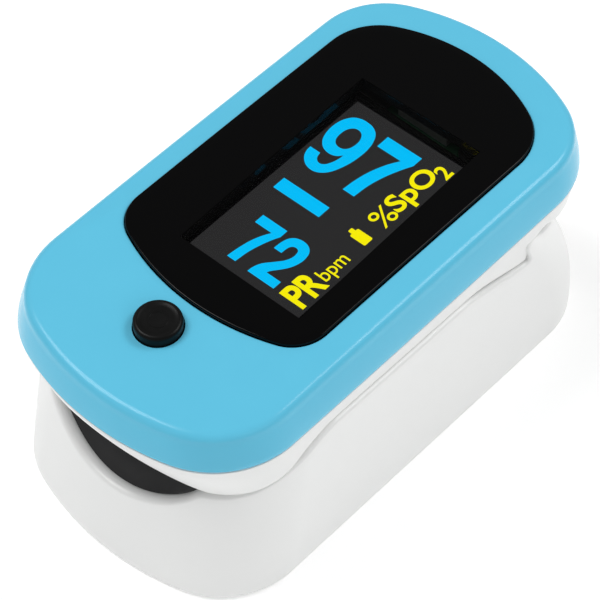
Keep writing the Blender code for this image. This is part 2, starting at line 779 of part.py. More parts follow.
def flex_path():
    """Centre line of the ribbon in side view, from the main board round the hinge to the detector."""
    stops = [
        (19.9, 23.65),
        (22.2, 23.75),
        (23.6, 23.4),
        (24.3, 22.2),
        (24.1, 20.2),
        (23.0, 17.6),
        (21.0, 15.4),
        (17.6, 14.15),
        (14.6, 13.5),
        (12.6, 12.2),
        (10.2, 11.25),
        (5.0, 11.1),
        (-1.0, 11.1),
    ]
    path = []
    ends = [stops[0]] + stops + [stops[-1]]
    for i in range(1, len(ends) - 2):
        before, here, there, after = (Vector(point) for point in ends[i - 1 : i + 3])
        for step in range(3):
            t = step / 3
            path.append(
                0.5
                * (
                    2 * here
                    + (there - before) * t
                    + (2 * before - 5 * here + 4 * there - after) * t**2
                    + (3 * here - before - 3 * there + after) * t**3
                )
            )
    path.append(Vector(stops[-1]))
    return [point * MM for point in path]


def make_flex_cable():
    path = flex_path()
    half_thickness = 0.12 * MM
    upper, lower = [], []
    for i, point in enumerate(path):
        along = path[min(i + 1, len(path) - 1)] - path[max(i - 1, 0)]
        normal = Vector((-along.y, along.x)).normalized() * half_thickness
        upper.append(tuple(point + normal))
        lower.append(tuple(point - normal))
    sheet("flex_cable", POLYIMIDE, [upper + lower[::-1]], -1.9 * MM, 1.9 * MM, axis="X")


def screw(name, x, y, seat, length, upwards=1.0):
    """A cross-head screw whose head seats at a height, with its shank running up from there."""
    head = 0.75 * MM
    top = [
        (0.0, length),
        (SCREW_RADIUS * 0.5, length),
        (SCREW_RADIUS, length - 0.6 * MM),
        (SCREW_RADIUS, 0.0),
        (SCREW_HEAD_RADIUS, 0.0),
        (SCREW_HEAD_RADIUS, -head * 0.55),
        (SCREW_HEAD_RADIUS * 0.7, -head),
        (0.0, -head),
    ]
    made = turned(name, STEEL, top, 16)
    made.location = (x, y, seat)
    arm, slot = 0.95 * MM, 0.22 * MM
    low, high = seat - head - 0.5 * MM, seat - head + 0.4 * MM
    cross = box(f"cross_{name}", STEEL, (x - arm, y - slot, low), (x + arm, y + slot, high))
    join(cross, box(f"bar_{name}", STEEL, (x - slot, y - arm, low), (x + slot, y + arm, high)))
    cut(made, cross)


def make_lower_jaw():
    make_lower_shell()
    make_battery_door()
    make_channel()
    make_cells()
    make_battery_holder()
    make_flex_cable()
    cylinder(
        "hinge_pin",
        STEEL,
        PIN_RADIUS,
        (-PIN_HALF_LENGTH, PIVOT_Y, PIVOT_Z),
        (PIN_HALF_LENGTH, PIVOT_Y, PIVOT_Z),
    )
    torsion_spring("torsion_spring_left", -1)
    torsion_spring("torsion_spring_right", 1)
    for name, side in (("base_screw_left", -1), ("base_screw_right", 1)):
        screw(name, side * BASE_SCREW[0], BASE_SCREW[1], 0.95 * MM, 7.0 * MM)


# ---------------------------------------------------------------- upper jaw


def below_crown(depth):
    return lambda y: crown(y) - depth


def make_top_cover():
    rings = [
        ring(cover_outline(0.0), rim),
        ring(cover_outline(0.33 * MM), lambda y: (rim(y) + crown(y) - 1.3 * MM) / 2),
        ring(cover_outline(0.8 * MM), below_crown(SHOULDER + 0.9 * MM)),
        ring(cover_outline(1.1 * MM), below_crown(SHOULDER + 0.26 * MM)),
        ring(cover_outline(1.8 * MM), below_crown(SHOULDER)),
        ring(window_outline(), crown),
        ring(window_outline(), below_crown(LEDGE_DEPTH)),
        ring(window_outline(LEDGE_WIDTH), below_crown(LEDGE_DEPTH)),
        ring(window_outline(LEDGE_WIDTH), below_crown(LEDGE_DEPTH + 0.5 * MM)),
        ring(cover_outline(3.2 * MM), below_crown(COVER_TOP_WALL + SHOULDER)),
        ring(cover_outline(2.4 * MM), below_crown(COVER_TOP_WALL + SHOULDER + 0.8 * MM)),
        ring(cover_outline(COVER_WALL), rim),
    ]
    cover = loft("top_cover", BLUE, rings, closed=True)
    for side in (-1, 1):
        x, y = side * TAIL_SCREW[0], TAIL_SCREW[1]
        top = crown(y) - 1.0 * MM
        join(cover, cylinder(f"cover_post_{side}", BLUE, 1.6 * MM, (x, y, 22.6 * MM), (x, y, top), 16))
        hole = SCREW_RADIUS + RUNNING_GAP
        cut(cover, cylinder(f"cut_cover_post_{side}", BLUE, hole, (x, y, 20 * MM), (x, y, 25.4 * MM), 12))
    cut(cover, button_bar("cut_button", BLUE, BUTTON_HOLE_RADIUS, -3 * MM, 3 * MM, 32))


def button_matrix():
    """The button's own frame: its origin on the cover's top and its Z square to it."""
    step = 0.1 * MM
    slope = (crown(BUTTON_Y + step) - crown(BUTTON_Y - step)) / (2 * step)
    return Matrix.Translation((0, BUTTON_Y, crown(BUTTON_Y))) @ Matrix.Rotation(math.atan(slope), 4, "X")


def button_bar(name, material, radius, low, high, sides):
    frame = button_matrix()
    return cylinder(name, material, radius, frame @ Vector((0, 0, low)), frame @ Vector((0, 0, high)), sides)


def make_button():
    """The cap stands proud of the cover and is kept in by a flange under it."""
    dish = 0.18 * MM
    profile = [
        (0.0, BUTTON_RAISE - dish),
        (1.0 * MM, BUTTON_RAISE - 0.75 * dish),
        (1.7 * MM, BUTTON_RAISE - 0.1 * dish),
        (BUTTON_RADIUS - 0.35 * MM, BUTTON_RAISE),
        (BUTTON_RADIUS - 0.08 * MM, BUTTON_RAISE - 0.12 * MM),
        (BUTTON_RADIUS, BUTTON_RAISE - 0.35 * MM),
        (BUTTON_RADIUS, -1.55 * MM),
        (BUTTON_FLANGE_RADIUS, -1.55 * MM),
        (BUTTON_FLANGE_RADIUS, -1.8 * MM),
        (2.2 * MM, -1.8 * MM),
        (2.2 * MM, -1.2 * MM),
        (0.9 * MM, -1.2 * MM),
        (0.9 * MM, -STEM_DEPTH),
        (0.0, -STEM_DEPTH),
    ]
    cap = turned("power_button", BUTTON_BLACK, profile, 28)
    cap.matrix_world = button_matrix()
    switch_top = BOARD_TOP + 0.43 * MM
    switch = box(
        "tactile_switch",
        CHIP,
        (-1.6 * MM, BUTTON_Y - 1.4 * MM, BOARD_TOP + 0.05 * MM),
        (1.6 * MM, BUTTON_Y + 1.4 * MM, switch_top),
    )
    floor = (0, BUTTON_Y, BOARD_TOP + 0.2 * MM)
    cut(switch, cylinder("cut_switch", CHIP, 0.95 * MM, floor, (0, BUTTON_Y, 25 * MM), 16))
    start = (0, BUTTON_Y, switch_top + 0.05 * MM)
    end = (0, BUTTON_Y, switch_top + 0.55 * MM)
    cylinder("switch_plunger", NICKEL, 0.75 * MM, start, end, 16)


def make_display():
    lens_plan = window_outline(LENS_GAP)
    flat_plan = window_outline(LENS_GAP + LENS_BEVEL)
    rings = [
        ring(lens_plan, below_crown(LEDGE_DEPTH - 0.15 * MM)),
        ring(lens_plan, below_crown(-0.2 * MM)),
        ring(flat_plan, below_crown(-LENS_RAISE)),
    ]
    loft("display_lens", LENS_BLACK, rings)
    x, y = VIEW_CENTRE
    half_x, half_y = VIEW_HALF
    top = MODULE_BOTTOM + MODULE_SIZE[2]
    box(
        "display_module",
        GLASS_DARK,
        (MODULE_CENTRE_X - MODULE_SIZE[0] / 2, y - MODULE_SIZE[1] / 2, MODULE_BOTTOM),
        (MODULE_CENTRE_X + MODULE_SIZE[0] / 2, y + MODULE_SIZE[1] / 2, top),
    )
    gasket = box(
        "display_gasket",
        FOAM,
        (MODULE_CENTRE_X - 10 * MM, y - half_y - 1.6 * MM, top + 0.1 * MM),
        (MODULE_CENTRE_X + 10 * MM, y + half_y + 1.6 * MM, top + 0.5 * MM),
    )
    opening = box(
        "cut_gasket",
        FOAM,
        (x - half_x, y - half_y, top - 1 * MM),
        (x + half_x, y + half_y, top + 2 * MM),
    )
    cut(gasket, opening)


def circle(x, y, radius, sides):
    """A loop of points run clockwise, for a hole in a flat piece."""
    return [
        (x + radius * math.cos(2 * math.pi * i / sides), y - radius * math.sin(2 * math.pi * i / sides))
        for i in range(sides)
    ]


def make_main_board():
    plan = [(x, min(y, BOARD_REAR)) for x, y in cover_outline(BOARD_INSET)]
    sheet("main_board", BOARD_GREEN, [dedupe(plan)], BOARD_BOTTOM, BOARD_TOP)
    lift = BOARD_TOP + 0.1 * MM
    box("microcontroller", CHIP, (-9.5 * MM, 16 * MM, lift), (-4.5 * MM, 21 * MM, lift + 0.9 * MM))
    box("flex_connector", CHIP, (-3.2 * MM, 16.8 * MM, lift), (3.2 * MM, 19.7 * MM, lift + 1.0 * MM))
    box("power_inductor", CHIP, (5 * MM, 16.2 * MM, lift), (9 * MM, 20.2 * MM, lift + 1.4 * MM), 0.3 * MM)
    box(
        "emitter_leds",
        CLEAR,
        (-1.6 * MM, OPTIC_Y - 1.2 * MM, BOARD_BOTTOM - 0.85 * MM),
        (1.6 * MM, OPTIC_Y + 1.2 * MM, BOARD_BOTTOM - 0.1 * MM),
    )


def cheek_profile():
    """Side view of the plates that hang from the upper shell and carry it on the pin."""
    points = [(3.6 * MM, FLOOR_BOTTOM + 0.4 * MM), (5.0 * MM, 18.2 * MM), (9.5 * MM, 16.4 * MM)]
    for i in range(9):
        angle = math.radians(235 + 125 * i / 8)
        y = PIVOT_Y + LUG_RADIUS * math.cos(angle)
        points.append((y, PIVOT_Z + LUG_RADIUS * math.sin(angle)))
    return points + [(PIVOT_Y + LUG_RADIUS, FLOOR_BOTTOM + 0.4 * MM)]


def skirt_foot(inset):
    """Low edge of the skirt before it is trimmed: over the lower casing's wall at the front."""
    level = FRONT_DIP + SEAM_GAP
    foot = []
    for upper, lower in zip(cover_outline(SKIRT_INSET + 0.1 * MM + inset), lower_outline(level, inset)):
        share = 1 - ease(upper[1], -18 * MM, -8 * MM)
        foot.append((*(a + (b - a) * share for a, b in zip(upper, lower)), level - 0.3 * MM))
    return foot


def make_upper_shell():
    skirt = SKIRT_INSET + SKIRT_WALL
    lip = COVER_WALL + 0.45 * MM
    rings = [
        ring(cover_outline(skirt + 0.15 * MM), FLOOR_BOTTOM),
        ring(cover_outline(skirt + 0.15 * MM), UPPER_ARCH_TOP),
        skirt_foot(SKIRT_WALL + 0.2 * MM),
        skirt_foot(0.15 * MM),
        ring(cover_outline(SKIRT_INSET + 0.1 * MM), UPPER_ARCH_TOP),
        ring(cover_outline(SKIRT_INSET), lambda y: rim(y) - 0.2 * MM),
        ring(cover_outline(lip), lambda y: rim(y) - 0.2 * MM),
        ring(cover_outline(lip), lambda y: rim(y) + LIP_RISE),
        ring(cover_outline(lip + 0.9 * MM), lambda y: rim(y) + LIP_RISE),
        ring(cover_outline(lip + 0.9 * MM), FLOOR_TOP),
    ]
    shell = loft("upper_shell", WHITE, rings)
    edge = seam_line(SEAM_GAP, DIP_END) + [(19 * MM, SKIRT_BOTTOM), (40 * MM, SKIRT_BOTTOM)]
    below = sheet(
        "cut_below_seam", WHITE, [edge + [(40 * MM, 0.0), (-40 * MM, 0.0)]], -30 * MM, 30 * MM, axis="X"
    )
    arch_z = UPPER_ARCH_TOP - UPPER_ARCH_RADIUS
    start, end = (0, -40 * MM, arch_z), (0, -20 * MM, arch_z)
    cut(shell, below, cylinder("cut_upper_arch", WHITE, UPPER_ARCH_RADIUS, start, end, sides=64))
    for side in (-1, 1):
        near, far = sorted((side * CHEEK_INNER, side * CHEEK_OUTER))
        join(shell, sheet(f"cheek_{side}", WHITE, [cheek_profile()], near, far, axis="X"))
    bore = PIN_RADIUS + RUNNING_GAP
    cut(
        shell,
        cylinder("cut_hinge", WHITE, bore, (-20 * MM, PIVOT_Y, PIVOT_Z), (20 * MM, PIVOT_Y, PIVOT_Z)),
        box(
            "cut_emitter",
            WHITE,
            (-2 * MM, OPTIC_Y - 1.6 * MM, 20 * MM),
            (2 * MM, OPTIC_Y + 1.6 * MM, 23 * MM),
        ),
        box("cut_flex_slot", WHITE, (-2.6 * MM, 22.9 * MM, 20 * MM), (2.6 * MM, 25.4 * MM, 23 * MM)),
    )
    for side in (-1, 1):
        start, end = side * (CHEEK_OUTER + 0.05 * MM), side * 20 * MM
        notch = cylinder(
            f"cut_notch_{side}",
            WHITE,
            NOTCH_RADIUS,
            (start, PIVOT_Y, PIVOT_Z),
            (end, PIVOT_Y, PIVOT_Z),
            32,
        )
        x, y = side * TAIL_SCREW[0], TAIL_SCREW[1]
        hole = SCREW_RADIUS + 0.15 * MM
        cut(shell, notch)
        cut(shell, cylinder(f"cut_tail_{side}", WHITE, hole, (x, y, 20 * MM), (x, y, 23 * MM), 12))


def make_upper_pad():
    pad = height_field(
        "upper_finger_pad",
        RUBBER,
        roof_surface,
        0.9 * MM,
        12.4 * MM,
        -29.5 * MM,
        PAD_REAR - 0.2 * MM,
        10,
        6,
    )
    plan = cover_outline(SKIRT_INSET + SKIRT_WALL + 0.5 * MM)
    keep = sheet("keep_upper_pad", RUBBER, [dedupe(plan)], 0, 30 * MM)
    boolean(pad, keep, "INTERSECT")
    half_x, half_y = 2.8 * MM, 2.4 * MM
    cut(
        pad,
        box(
            "cut_upper_window",
            RUBBER,
            (-half_x, OPTIC_Y - half_y, 15 * MM),
            (half_x, OPTIC_Y + half_y, 25 * MM),
        ),
    )
    gap = 0.25 * MM
    box(
        "emitter_window",
        CLEAR,
        (-half_x + gap, OPTIC_Y - half_y + gap, CHANNEL_ROOF + 0.1 * MM),
        (half_x - gap, OPTIC_Y + half_y - gap, CHANNEL_ROOF + 0.9 * MM),
        bevel=0.15 * MM,
    )


def make_upper_jaw():
    make_top_cover()
    make_display()
    make_button()
    make_main_board()
    make_upper_shell()
    make_upper_pad()
    for name, side in (("tail_screw_left", -1), ("tail_screw_right", 1)):
        screw(name, side * TAIL_SCREW[0], TAIL_SCREW[1], FLOOR_BOTTOM - 0.1 * MM, 3.6 * MM)


make_lower_jaw()
make_upper_jaw()
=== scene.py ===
"""Looks of the fingertip pulse oximeter: surfaces, materials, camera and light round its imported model."""

import json
import math

import bmesh
import bpy
from mathutils import Matrix, Vector


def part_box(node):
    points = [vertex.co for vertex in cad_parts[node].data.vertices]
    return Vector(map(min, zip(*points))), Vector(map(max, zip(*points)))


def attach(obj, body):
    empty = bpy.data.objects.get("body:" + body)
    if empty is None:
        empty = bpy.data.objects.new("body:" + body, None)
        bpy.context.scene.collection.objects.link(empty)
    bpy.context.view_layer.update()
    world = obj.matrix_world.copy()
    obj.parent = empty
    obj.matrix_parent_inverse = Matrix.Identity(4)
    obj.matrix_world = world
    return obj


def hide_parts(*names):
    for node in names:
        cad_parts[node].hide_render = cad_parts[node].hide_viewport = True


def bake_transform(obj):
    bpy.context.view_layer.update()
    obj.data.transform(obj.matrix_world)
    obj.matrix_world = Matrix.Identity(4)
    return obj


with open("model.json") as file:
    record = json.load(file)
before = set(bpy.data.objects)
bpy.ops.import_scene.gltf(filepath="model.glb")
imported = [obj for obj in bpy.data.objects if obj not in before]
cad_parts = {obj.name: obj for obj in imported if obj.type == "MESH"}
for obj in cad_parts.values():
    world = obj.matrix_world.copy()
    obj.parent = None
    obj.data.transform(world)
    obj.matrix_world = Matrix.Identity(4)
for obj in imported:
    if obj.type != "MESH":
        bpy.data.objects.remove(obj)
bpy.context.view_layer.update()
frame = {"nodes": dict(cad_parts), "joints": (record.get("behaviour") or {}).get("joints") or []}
MM = 0.001
HALF_PI = math.pi / 2

# ---------------- shape data, after the CAD model's

BREAKS = (0.12, 0.27)  # shares of a half outline at which its arch and its corner end

PIVOT = Vector(frame["joints"][0]["pos_m"])
SEAM, DIP, FRONT_DIP, TAIL_TOP = 19.0 * MM, 16.9 * MM, 14.6 * MM, 16.0 * MM
ARCH_RADIUS, ARCH_CENTRE = 12.6 * MM, 22.2 * MM
UPPER_ARCH_RADIUS, UPPER_ARCH_TOP = 14.0 * MM, 19.75 * MM
EAR_RADIUS = 2.6 * MM
WALL = 1.5 * MM
LIP = 0.42 * MM
COVER_CENTRE, COVER_HALF_LENGTH = -0.95 * MM, 30.0 * MM
BUTTON_Y = -21.05 * MM
OPTIC_Y = -6.0 * MM
PAD_REAR = 3.4 * MM


def mm(*values):
    return Vector(values) * MM


def lower_plan(height, inset=0.0):
    front_shape = (31.3 * MM - inset, 9.75 * MM - inset)
    rear_shape = (33.4 * MM - inset, 8.9 * MM - 0.12 * height - inset)
    front = -30.65 * MM + 0.17 * height + inset
    rear = 30.93 * MM - height**2 / (44 * MM) - inset
    return (16.35 * MM - 0.0196 * height - inset, front, rear, front_shape, rear_shape)


def cover_plan(inset=0.0):
    front_shape = (29.4 * MM - inset, 10.05 * MM - inset)
    rear_shape = (25.3 * MM - inset, 9.3 * MM - inset)
    return (16.08 * MM - inset, -30.93 * MM + inset, 29.82 * MM - inset, front_shape, rear_shape)


def window_plan(inset=0.0):
    front_shape = (25.7 * MM - inset, 4.3 * MM - inset)
    rear_shape = (18.9 * MM - inset, 6.8 * MM - inset)
    return (12.36 * MM - inset, -17.35 * MM + inset, 24.74 * MM - inset, front_shape, rear_shape)


def crown(y):
    share = (y - COVER_CENTRE) / COVER_HALF_LENGTH
    return 27.3 * MM + 0.9 * MM * share - 0.28 * MM * share**2


def rim(y):
    share = (y - COVER_CENTRE) / COVER_HALF_LENGTH
    return 22.1 * MM + 0.75 * MM * share + 0.42 * MM * share**2


def ease(value, start, end):
    share = min(1.0, max(0.0, (value - start) / (end - start)))
    return share * share * (3 - 2 * share)


def channel_bed(y):
    return (10.0 + 3.7 * ease(y, -28.5 * MM, -21.0 * MM)) * MM


def seam(y):
    """Height of the lower casing's edge: it sinks at the front corners and just before the hinge."""
    front = FRONT_DIP + (SEAM - FRONT_DIP) * ease(y, -27 * MM, -13.5 * MM)
    return front + (DIP - SEAM) * ease(y, 6 * MM, 16.5 * MM)


def mouth(x):
    """Height of the finger opening's lower edge."""
    return ARCH_CENTRE - math.sqrt(max(0.0, ARCH_RADIUS**2 - x * x))


def pad_surface(x, y):
    bed = channel_bed(y) + 3.6 * MM * ease(y, -2.0 * MM, PAD_REAR)
    trough = bed + (18.8 * MM - bed) * (x / (12.9 * MM)) ** 2
    entry = min(18.6 * MM, mouth(x) - 0.12 * MM)
    return entry + (trough - entry) * ease(y, -27.6 * MM, -23.5 * MM)


def roof_surface(x, y):
    return (20.4 - 0.9 * (x / (12.0 * MM)) ** 2) * MM


def plan_at(plan, u):
    """Point of the right half of an outline, from the front's centre at u = 0 to the rear's at u = 1."""
    half_width, front, rear, front_shape, rear_shape = plan
    ends = []
    for reach, (bulge, corner) in ((-front, front_shape), (rear, rear_shape)):
        side_x = half_width - corner
        arch = reach - bulge
        side_y = arch + math.sqrt((bulge - corner) ** 2 - side_x**2)
        ends.append((bulge, corner, side_x, arch, side_y, math.atan2(side_y - arch, side_x)))
    at_rear = u > 0.5
    bulge, corner, side_x, arch, side_y, meet = ends[at_rear]
    t = 1 - u if at_rear else u
    if t < BREAKS[0]:
        angle = HALF_PI + (meet - HALF_PI) * t / BREAKS[0]
        x, away = bulge * math.cos(angle), arch + bulge * math.sin(angle)
    elif t < BREAKS[1]:
        angle = meet * (1 - (t - BREAKS[0]) / (BREAKS[1] - BREAKS[0]))
        x, away = side_x + corner * math.cos(angle), side_y + corner * math.sin(angle)
    else:
        share = (t - BREAKS[1]) / (0.5 - BREAKS[1])
        middle = (ends[1][4] - ends[0][4]) / 2
        x, away = half_width, side_y + share * ((middle if at_rear else -middle) - side_y)
    return x, away if at_rear else -away


def outline(plan, steps=96):
    """The whole closed outline. It starts at the front's centre and runs along the +X side first."""
    right = [plan_at(plan, i / steps) for i in range(steps + 1)]
    return right + [(-x, y) for x, y in right[-2:0:-1]]


def ring(plan, height, steps=96):
    rise = height if callable(height) else (lambda y: height)
    return [(x, y, rise(y)) for x, y in outline(plan, steps)]


def below_crown(depth):
    return lambda y: crown(y) - depth


# ---------------- mesh tools


def new_object(name, mesh, material, body, replaces=(), sharp=35.0):
    """A smooth piece that rides a body."""
    made = bpy.data.objects.new(name, mesh)
    bpy.context.scene.collection.objects.link(made)
    mesh.materials.clear()
    mesh.materials.append(material)
    mesh.shade_smooth()
    mesh.set_sharp_from_angle(angle=math.radians(sharp))
    if body:
        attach(made, body)
        if replaces:
            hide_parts(*replaces)
    return made


def cap_across(build, corners):
    """Closes a ring with strips from side to side, so that the cap follows a height that varies along Y."""
    count = len(corners)
    build.faces.new((corners[0], corners[1], corners[-1]))
    for i in range(1, count // 2 - 1):
        build.faces.new((corners[i], corners[i + 1], corners[count - i - 1], corners[count - i]))
    middle = count // 2
    build.faces.new((corners[middle - 1], corners[middle], corners[middle + 1]))


def skin(rings, closed=False):
    """A skin through rings of points, in order, its ends capped unless closed."""
    build = bmesh.new()
    corners = [[build.verts.new(point) for point in one] for one in rings]
    count = len(rings[0])
    for here, there in zip(corners, corners[1:] + (corners[:1] if closed else [])):
        for i in range(count):
            after = (i + 1) % count
            build.faces.new((here[i], here[after], there[after], there[i]))
    if not closed:
        cap_across(build, corners[0])
        cap_across(build, corners[-1])
    return build


def slab(rows, name):
    """A closed flat piece between two matching outlines."""
    build = bmesh.new()
    first, second = ([build.verts.new(point) for point in row] for row in rows)
    for i in range(len(first)):
        build.faces.new((first[i - 1], first[i], second[i], second[i - 1]))
    build.faces.new(first[::-1])
    build.faces.new(second)
    return mesh_of(build, name)


def mesh_of(build, name):
    bmesh.ops.recalc_face_normals(build, faces=build.faces)
    mesh = bpy.data.meshes.new(name)
    build.to_mesh(mesh)
    build.free()
    return mesh


def block(build, low, high, turn=None):
    """Adds a box between two corners to a mesh being built."""
    low, high = Vector(low), Vector(high)
    matrix = Matrix.Translation((low + high) / 2) @ Matrix.Diagonal((*(high - low), 1.0))
    bmesh.ops.create_cube(build, size=1.0, matrix=(turn or Matrix()) @ matrix)


def rod(build, radius, start, end, sides=64):
    """Adds a closed round bar between two points to a mesh being built."""
    start, end = Vector(start), Vector(end)
    turn = (end - start).to_track_quat("Z", "Y").to_matrix().to_4x4()
    matrix = Matrix.Translation((start + end) / 2) @ turn
    size = {"radius1": radius, "radius2": radius, "depth": (end - start).length}
    bmesh.ops.create_cone(build, cap_ends=True, segments=sides, matrix=matrix, **size)


def combine(mesh, build, operation="DIFFERENCE"):
    """The mesh with a Boolean of the built shape applied."""
    subject = bpy.data.objects.new("subject", mesh)
    tool = bpy.data.objects.new("tool", mesh_of(build, "tool"))
    for obj in (subject, tool):
        bpy.context.scene.collection.objects.link(obj)
    change = subject.modifiers.new("boolean", "BOOLEAN")
    change.operation = operation
    change.object = tool
    bpy.context.view_layer.update()
    graph = bpy.context.evaluated_depsgraph_get()
    result = bpy.data.meshes.new_from_object(subject.evaluated_get(graph))
    for obj in (subject, tool):
        bpy.data.objects.remove(obj)
    return result


def turned(profile, steps, matrix, closed=False):
    """A turned shape about Z from (radius, height) points in mm: from axis to axis, or a closed loop."""
    build = bmesh.new()
    rows = []
    for radius, height in profile:
        row = []
        for i in range(steps if radius else 1):
            angle = 2 * math.pi * i / steps
            point = Vector((radius * math.cos(angle), radius * math.sin(angle), height))
            row.append(build.verts.new(matrix @ (point * MM)))
        rows.append(row)
    for here, there in zip(rows, rows[1:] + rows[: int(closed)]):
        for i in range(steps):
            a, b = here[i % len(here)], here[(i + 1) % len(here)]
            c, d = there[(i + 1) % len(there)], there[i % len(there)]
            corners = list(dict.fromkeys((a, b, c, d)))
            if len(corners) > 2:
                build.faces.new(corners)
    return build


def wire_mesh(points, radius, name, level=3):
    """A round wire along points, with closed ends."""
    data = bpy.data.curves.new(name, "CURVE")
    data.dimensions = "3D"
    data.bevel_depth = radius
    data.bevel_resolution = level
    data.use_fill_caps = True
    spline = data.splines.new("POLY")
    spline.points.add(len(points) - 1)
    for point, co in zip(spline.points, points):
        point.co = (*co, 1.0)
    return mesh_from_curve(data, name)


def mesh_from_curve(data, name):
    holder = bpy.data.objects.new(name, data)
    bpy.context.scene.collection.objects.link(holder)
    bpy.context.view_layer.update()
    graph = bpy.context.evaluated_depsgraph_get()
    mesh = bpy.data.meshes.new_from_object(holder.evaluated_get(graph))
    bpy.data.objects.remove(holder)
    build = bmesh.new()
    build.from_mesh(mesh)
    bmesh.ops.remove_doubles(build, verts=build.verts, dist=0.0000005)
    return mesh_of(build, name)


# ---------------- materials


def link(tree, source, target):
    tree.links.new(source, target)


def node(tree, kind, **inputs):
    made = tree.nodes.new(kind)
    for name, value in inputs.items():
        made.inputs[name.replace("_", " ")].default_value = value
    return made


def maths(tree, operation, *values):
    """A Math node on numbers and other nodes' outputs."""
    made = tree.nodes.new("ShaderNodeMath")
    made.operation = operation
    for socket, value in zip(made.inputs, values):
        if isinstance(value, float):
            socket.default_value = value
        else:
            link(tree, value, socket)
    return made.outputs["Value"]


def axes(tree, coords):
    split = tree.nodes.new("ShaderNodeSeparateXYZ")
    link(tree, coords, split.inputs["Vector"])
    return split.outputs


def noise(tree, coords, scale, detail=2.0):
    made = node(tree, "ShaderNodeTexNoise", Scale=scale, Detail=detail)
    link(tree, coords, made.inputs["Vector"])
    return made.outputs["Fac"]


def remap(tree, value, low, high, start=0.3, end=0.7):
    made = node(tree, "ShaderNodeMapRange")
    for name, number in (("From Min", start), ("From Max", end), ("To Min", low), ("To Max", high)):
        made.inputs[name].default_value = number
    link(tree, value, made.inputs["Value"])
    return made.outputs["Result"]


def blend_colour(tree, factor, first, second):
    """Two colours mixed by a factor. The first may be another node's output."""
    made = tree.nodes.new("ShaderNodeMix")
    made.data_type = "RGBA"
    link(tree, factor, made.inputs["Factor"])
    if isinstance(first, tuple):
        made.inputs["A"].default_value = (*first, 1.0)
    else:
        link(tree, first, made.inputs["A"])
    made.inputs["B"].default_value = (*second, 1.0)
    return made.outputs["Result"]


def new_material(name):
    made = bpy.data.materials.new(name)
    made.use_nodes = True
    tree = made.node_tree
    coords = tree.nodes.new("ShaderNodeTexCoord").outputs["Object"]
    return made, tree, tree.nodes["Principled BSDF"], coords


def surface(
    name, colour, roughness, second=None, patch=260.0, grain=5200.0, bump=0.02, vary=0.05, **sockets
):
    """A material with soft colour patches, uneven gloss and a moulded grain, all at real scale."""
    made, tree, shader, coords = new_material(name)
    second = second or tuple(min(1.0, c * 0.93) for c in colour)
    patches = remap(tree, noise(tree, coords, patch, 3.0), 0.0, 1.0)
    link(tree, blend_colour(tree, patches, colour, second), shader.inputs["Base Color"])
    gloss = noise(tree, coords, patch * 3.1, 3.0)
    link(tree, remap(tree, gloss, roughness - vary, roughness + vary), shader.inputs["Roughness"])
    if bump:
        relief = node(tree, "ShaderNodeBump", Strength=bump, Distance=0.00005)
        link(tree, noise(tree, coords, grain), relief.inputs["Height"])
        link(tree, relief.outputs["Normal"], shader.inputs["Normal"])
    for key, value in sockets.items():
        shader.inputs[key.replace("_", " ")].default_value = value
    return made


def lit(name, colour, second):
    """A lit display area, broken up by its pixel grid."""
    made, tree, shader, coords = new_material(name)
    spots = axes(tree, coords)
    turns = [maths(tree, "MULTIPLY", spots[axis], 2 * math.pi / DISPLAY_PITCH) for axis in "XY"]
    waves = [maths(tree, "SINE", turn) for turn in turns]
    grid = remap(tree, maths(tree, "MAXIMUM", *waves), 0.0, 1.0, 0.2, 1.0)
    link(tree, blend_colour(tree, grid, colour, second), shader.inputs["Emission Color"])
    shader.inputs["Emission Strength"].default_value = 2.04
    shader.inputs["Base Color"].default_value = (0.002, 0.002, 0.002, 1.0)
    shader.inputs["Roughness"].default_value = 0.4
    shader.inputs["Specular IOR Level"].default_value = 0.0
    return made


def two_tone(name, first, second, roughness, axis, edges):
    """A material in bands along one axis, such as a printed sleeve: second between each pair of edges."""
    made = surface(name, first, roughness)
    tree = made.node_tree
    base = tree.nodes["Principled BSDF"].inputs["Base Color"]
    place = axes(tree, tree.nodes.new("ShaderNodeTexCoord").outputs["Object"])[axis]
    bands = [maths(tree, "COMPARE", place, (low + high) / 2, (high - low) / 2) for low, high in edges]
    total = bands[0]
    for band in bands[1:]:
        total = maths(tree, "MAXIMUM", total, band)
    link(tree, blend_colour(tree, total, base.links[0].from_socket, second), base)
    return made


SATIN = {"bump": 0.004, "vary": 0.015}  # a smooth moulded shell
CLEAR = {"bump": 0.0, "vary": 0.02}
BLUE = surface(
    "cover_blue", (0.110, 0.502, 0.704), 0.20, (0.107, 0.494, 0.696), **SATIN, Specular_IOR_Level=0.24
)
WHITE = surface("housing_white", (0.785, 0.791, 0.783), 0.32, (0.777, 0.783, 0.776), **SATIN)
INNER = surface("inner_white", (0.66, 0.67, 0.66), 0.48, (0.62, 0.63, 0.62), bump=0.05)
LENS = surface("lens_black", (0.0008, 0.0008, 0.0009), 0.06, **CLEAR, Specular_IOR_Level=0.11)
GRIP = {"bump": 0.15, "grain": 9000, "Specular_IOR_Level": 0.2}
RUBBER = surface("pad_rubber", (0.037, 0.037, 0.038), 0.60, (0.042, 0.042, 0.043), **GRIP)
MATT = {"bump": 0.06, "grain": 7000, "Specular_IOR_Level": 0.12}
BUTTON = surface("button_black", (0.003, 0.0032, 0.003), 0.36, (0.0042, 0.0042, 0.0042), **MATT)
FOAM = surface("gasket_foam", (0.004, 0.004, 0.004), 0.92, bump=0.3, grain=4000, Specular_IOR_Level=0.02)
GLASS = surface("display_glass", (0.004, 0.004, 0.005), 0.12, bump=0.0, Specular_IOR_Level=0.1)
MASK = {"patch": 900, "bump": 0.2, "grain": 2500}
GREEN = surface("board_green", (0.012, 0.13, 0.045), 0.38, (0.02, 0.20, 0.07), **MASK)
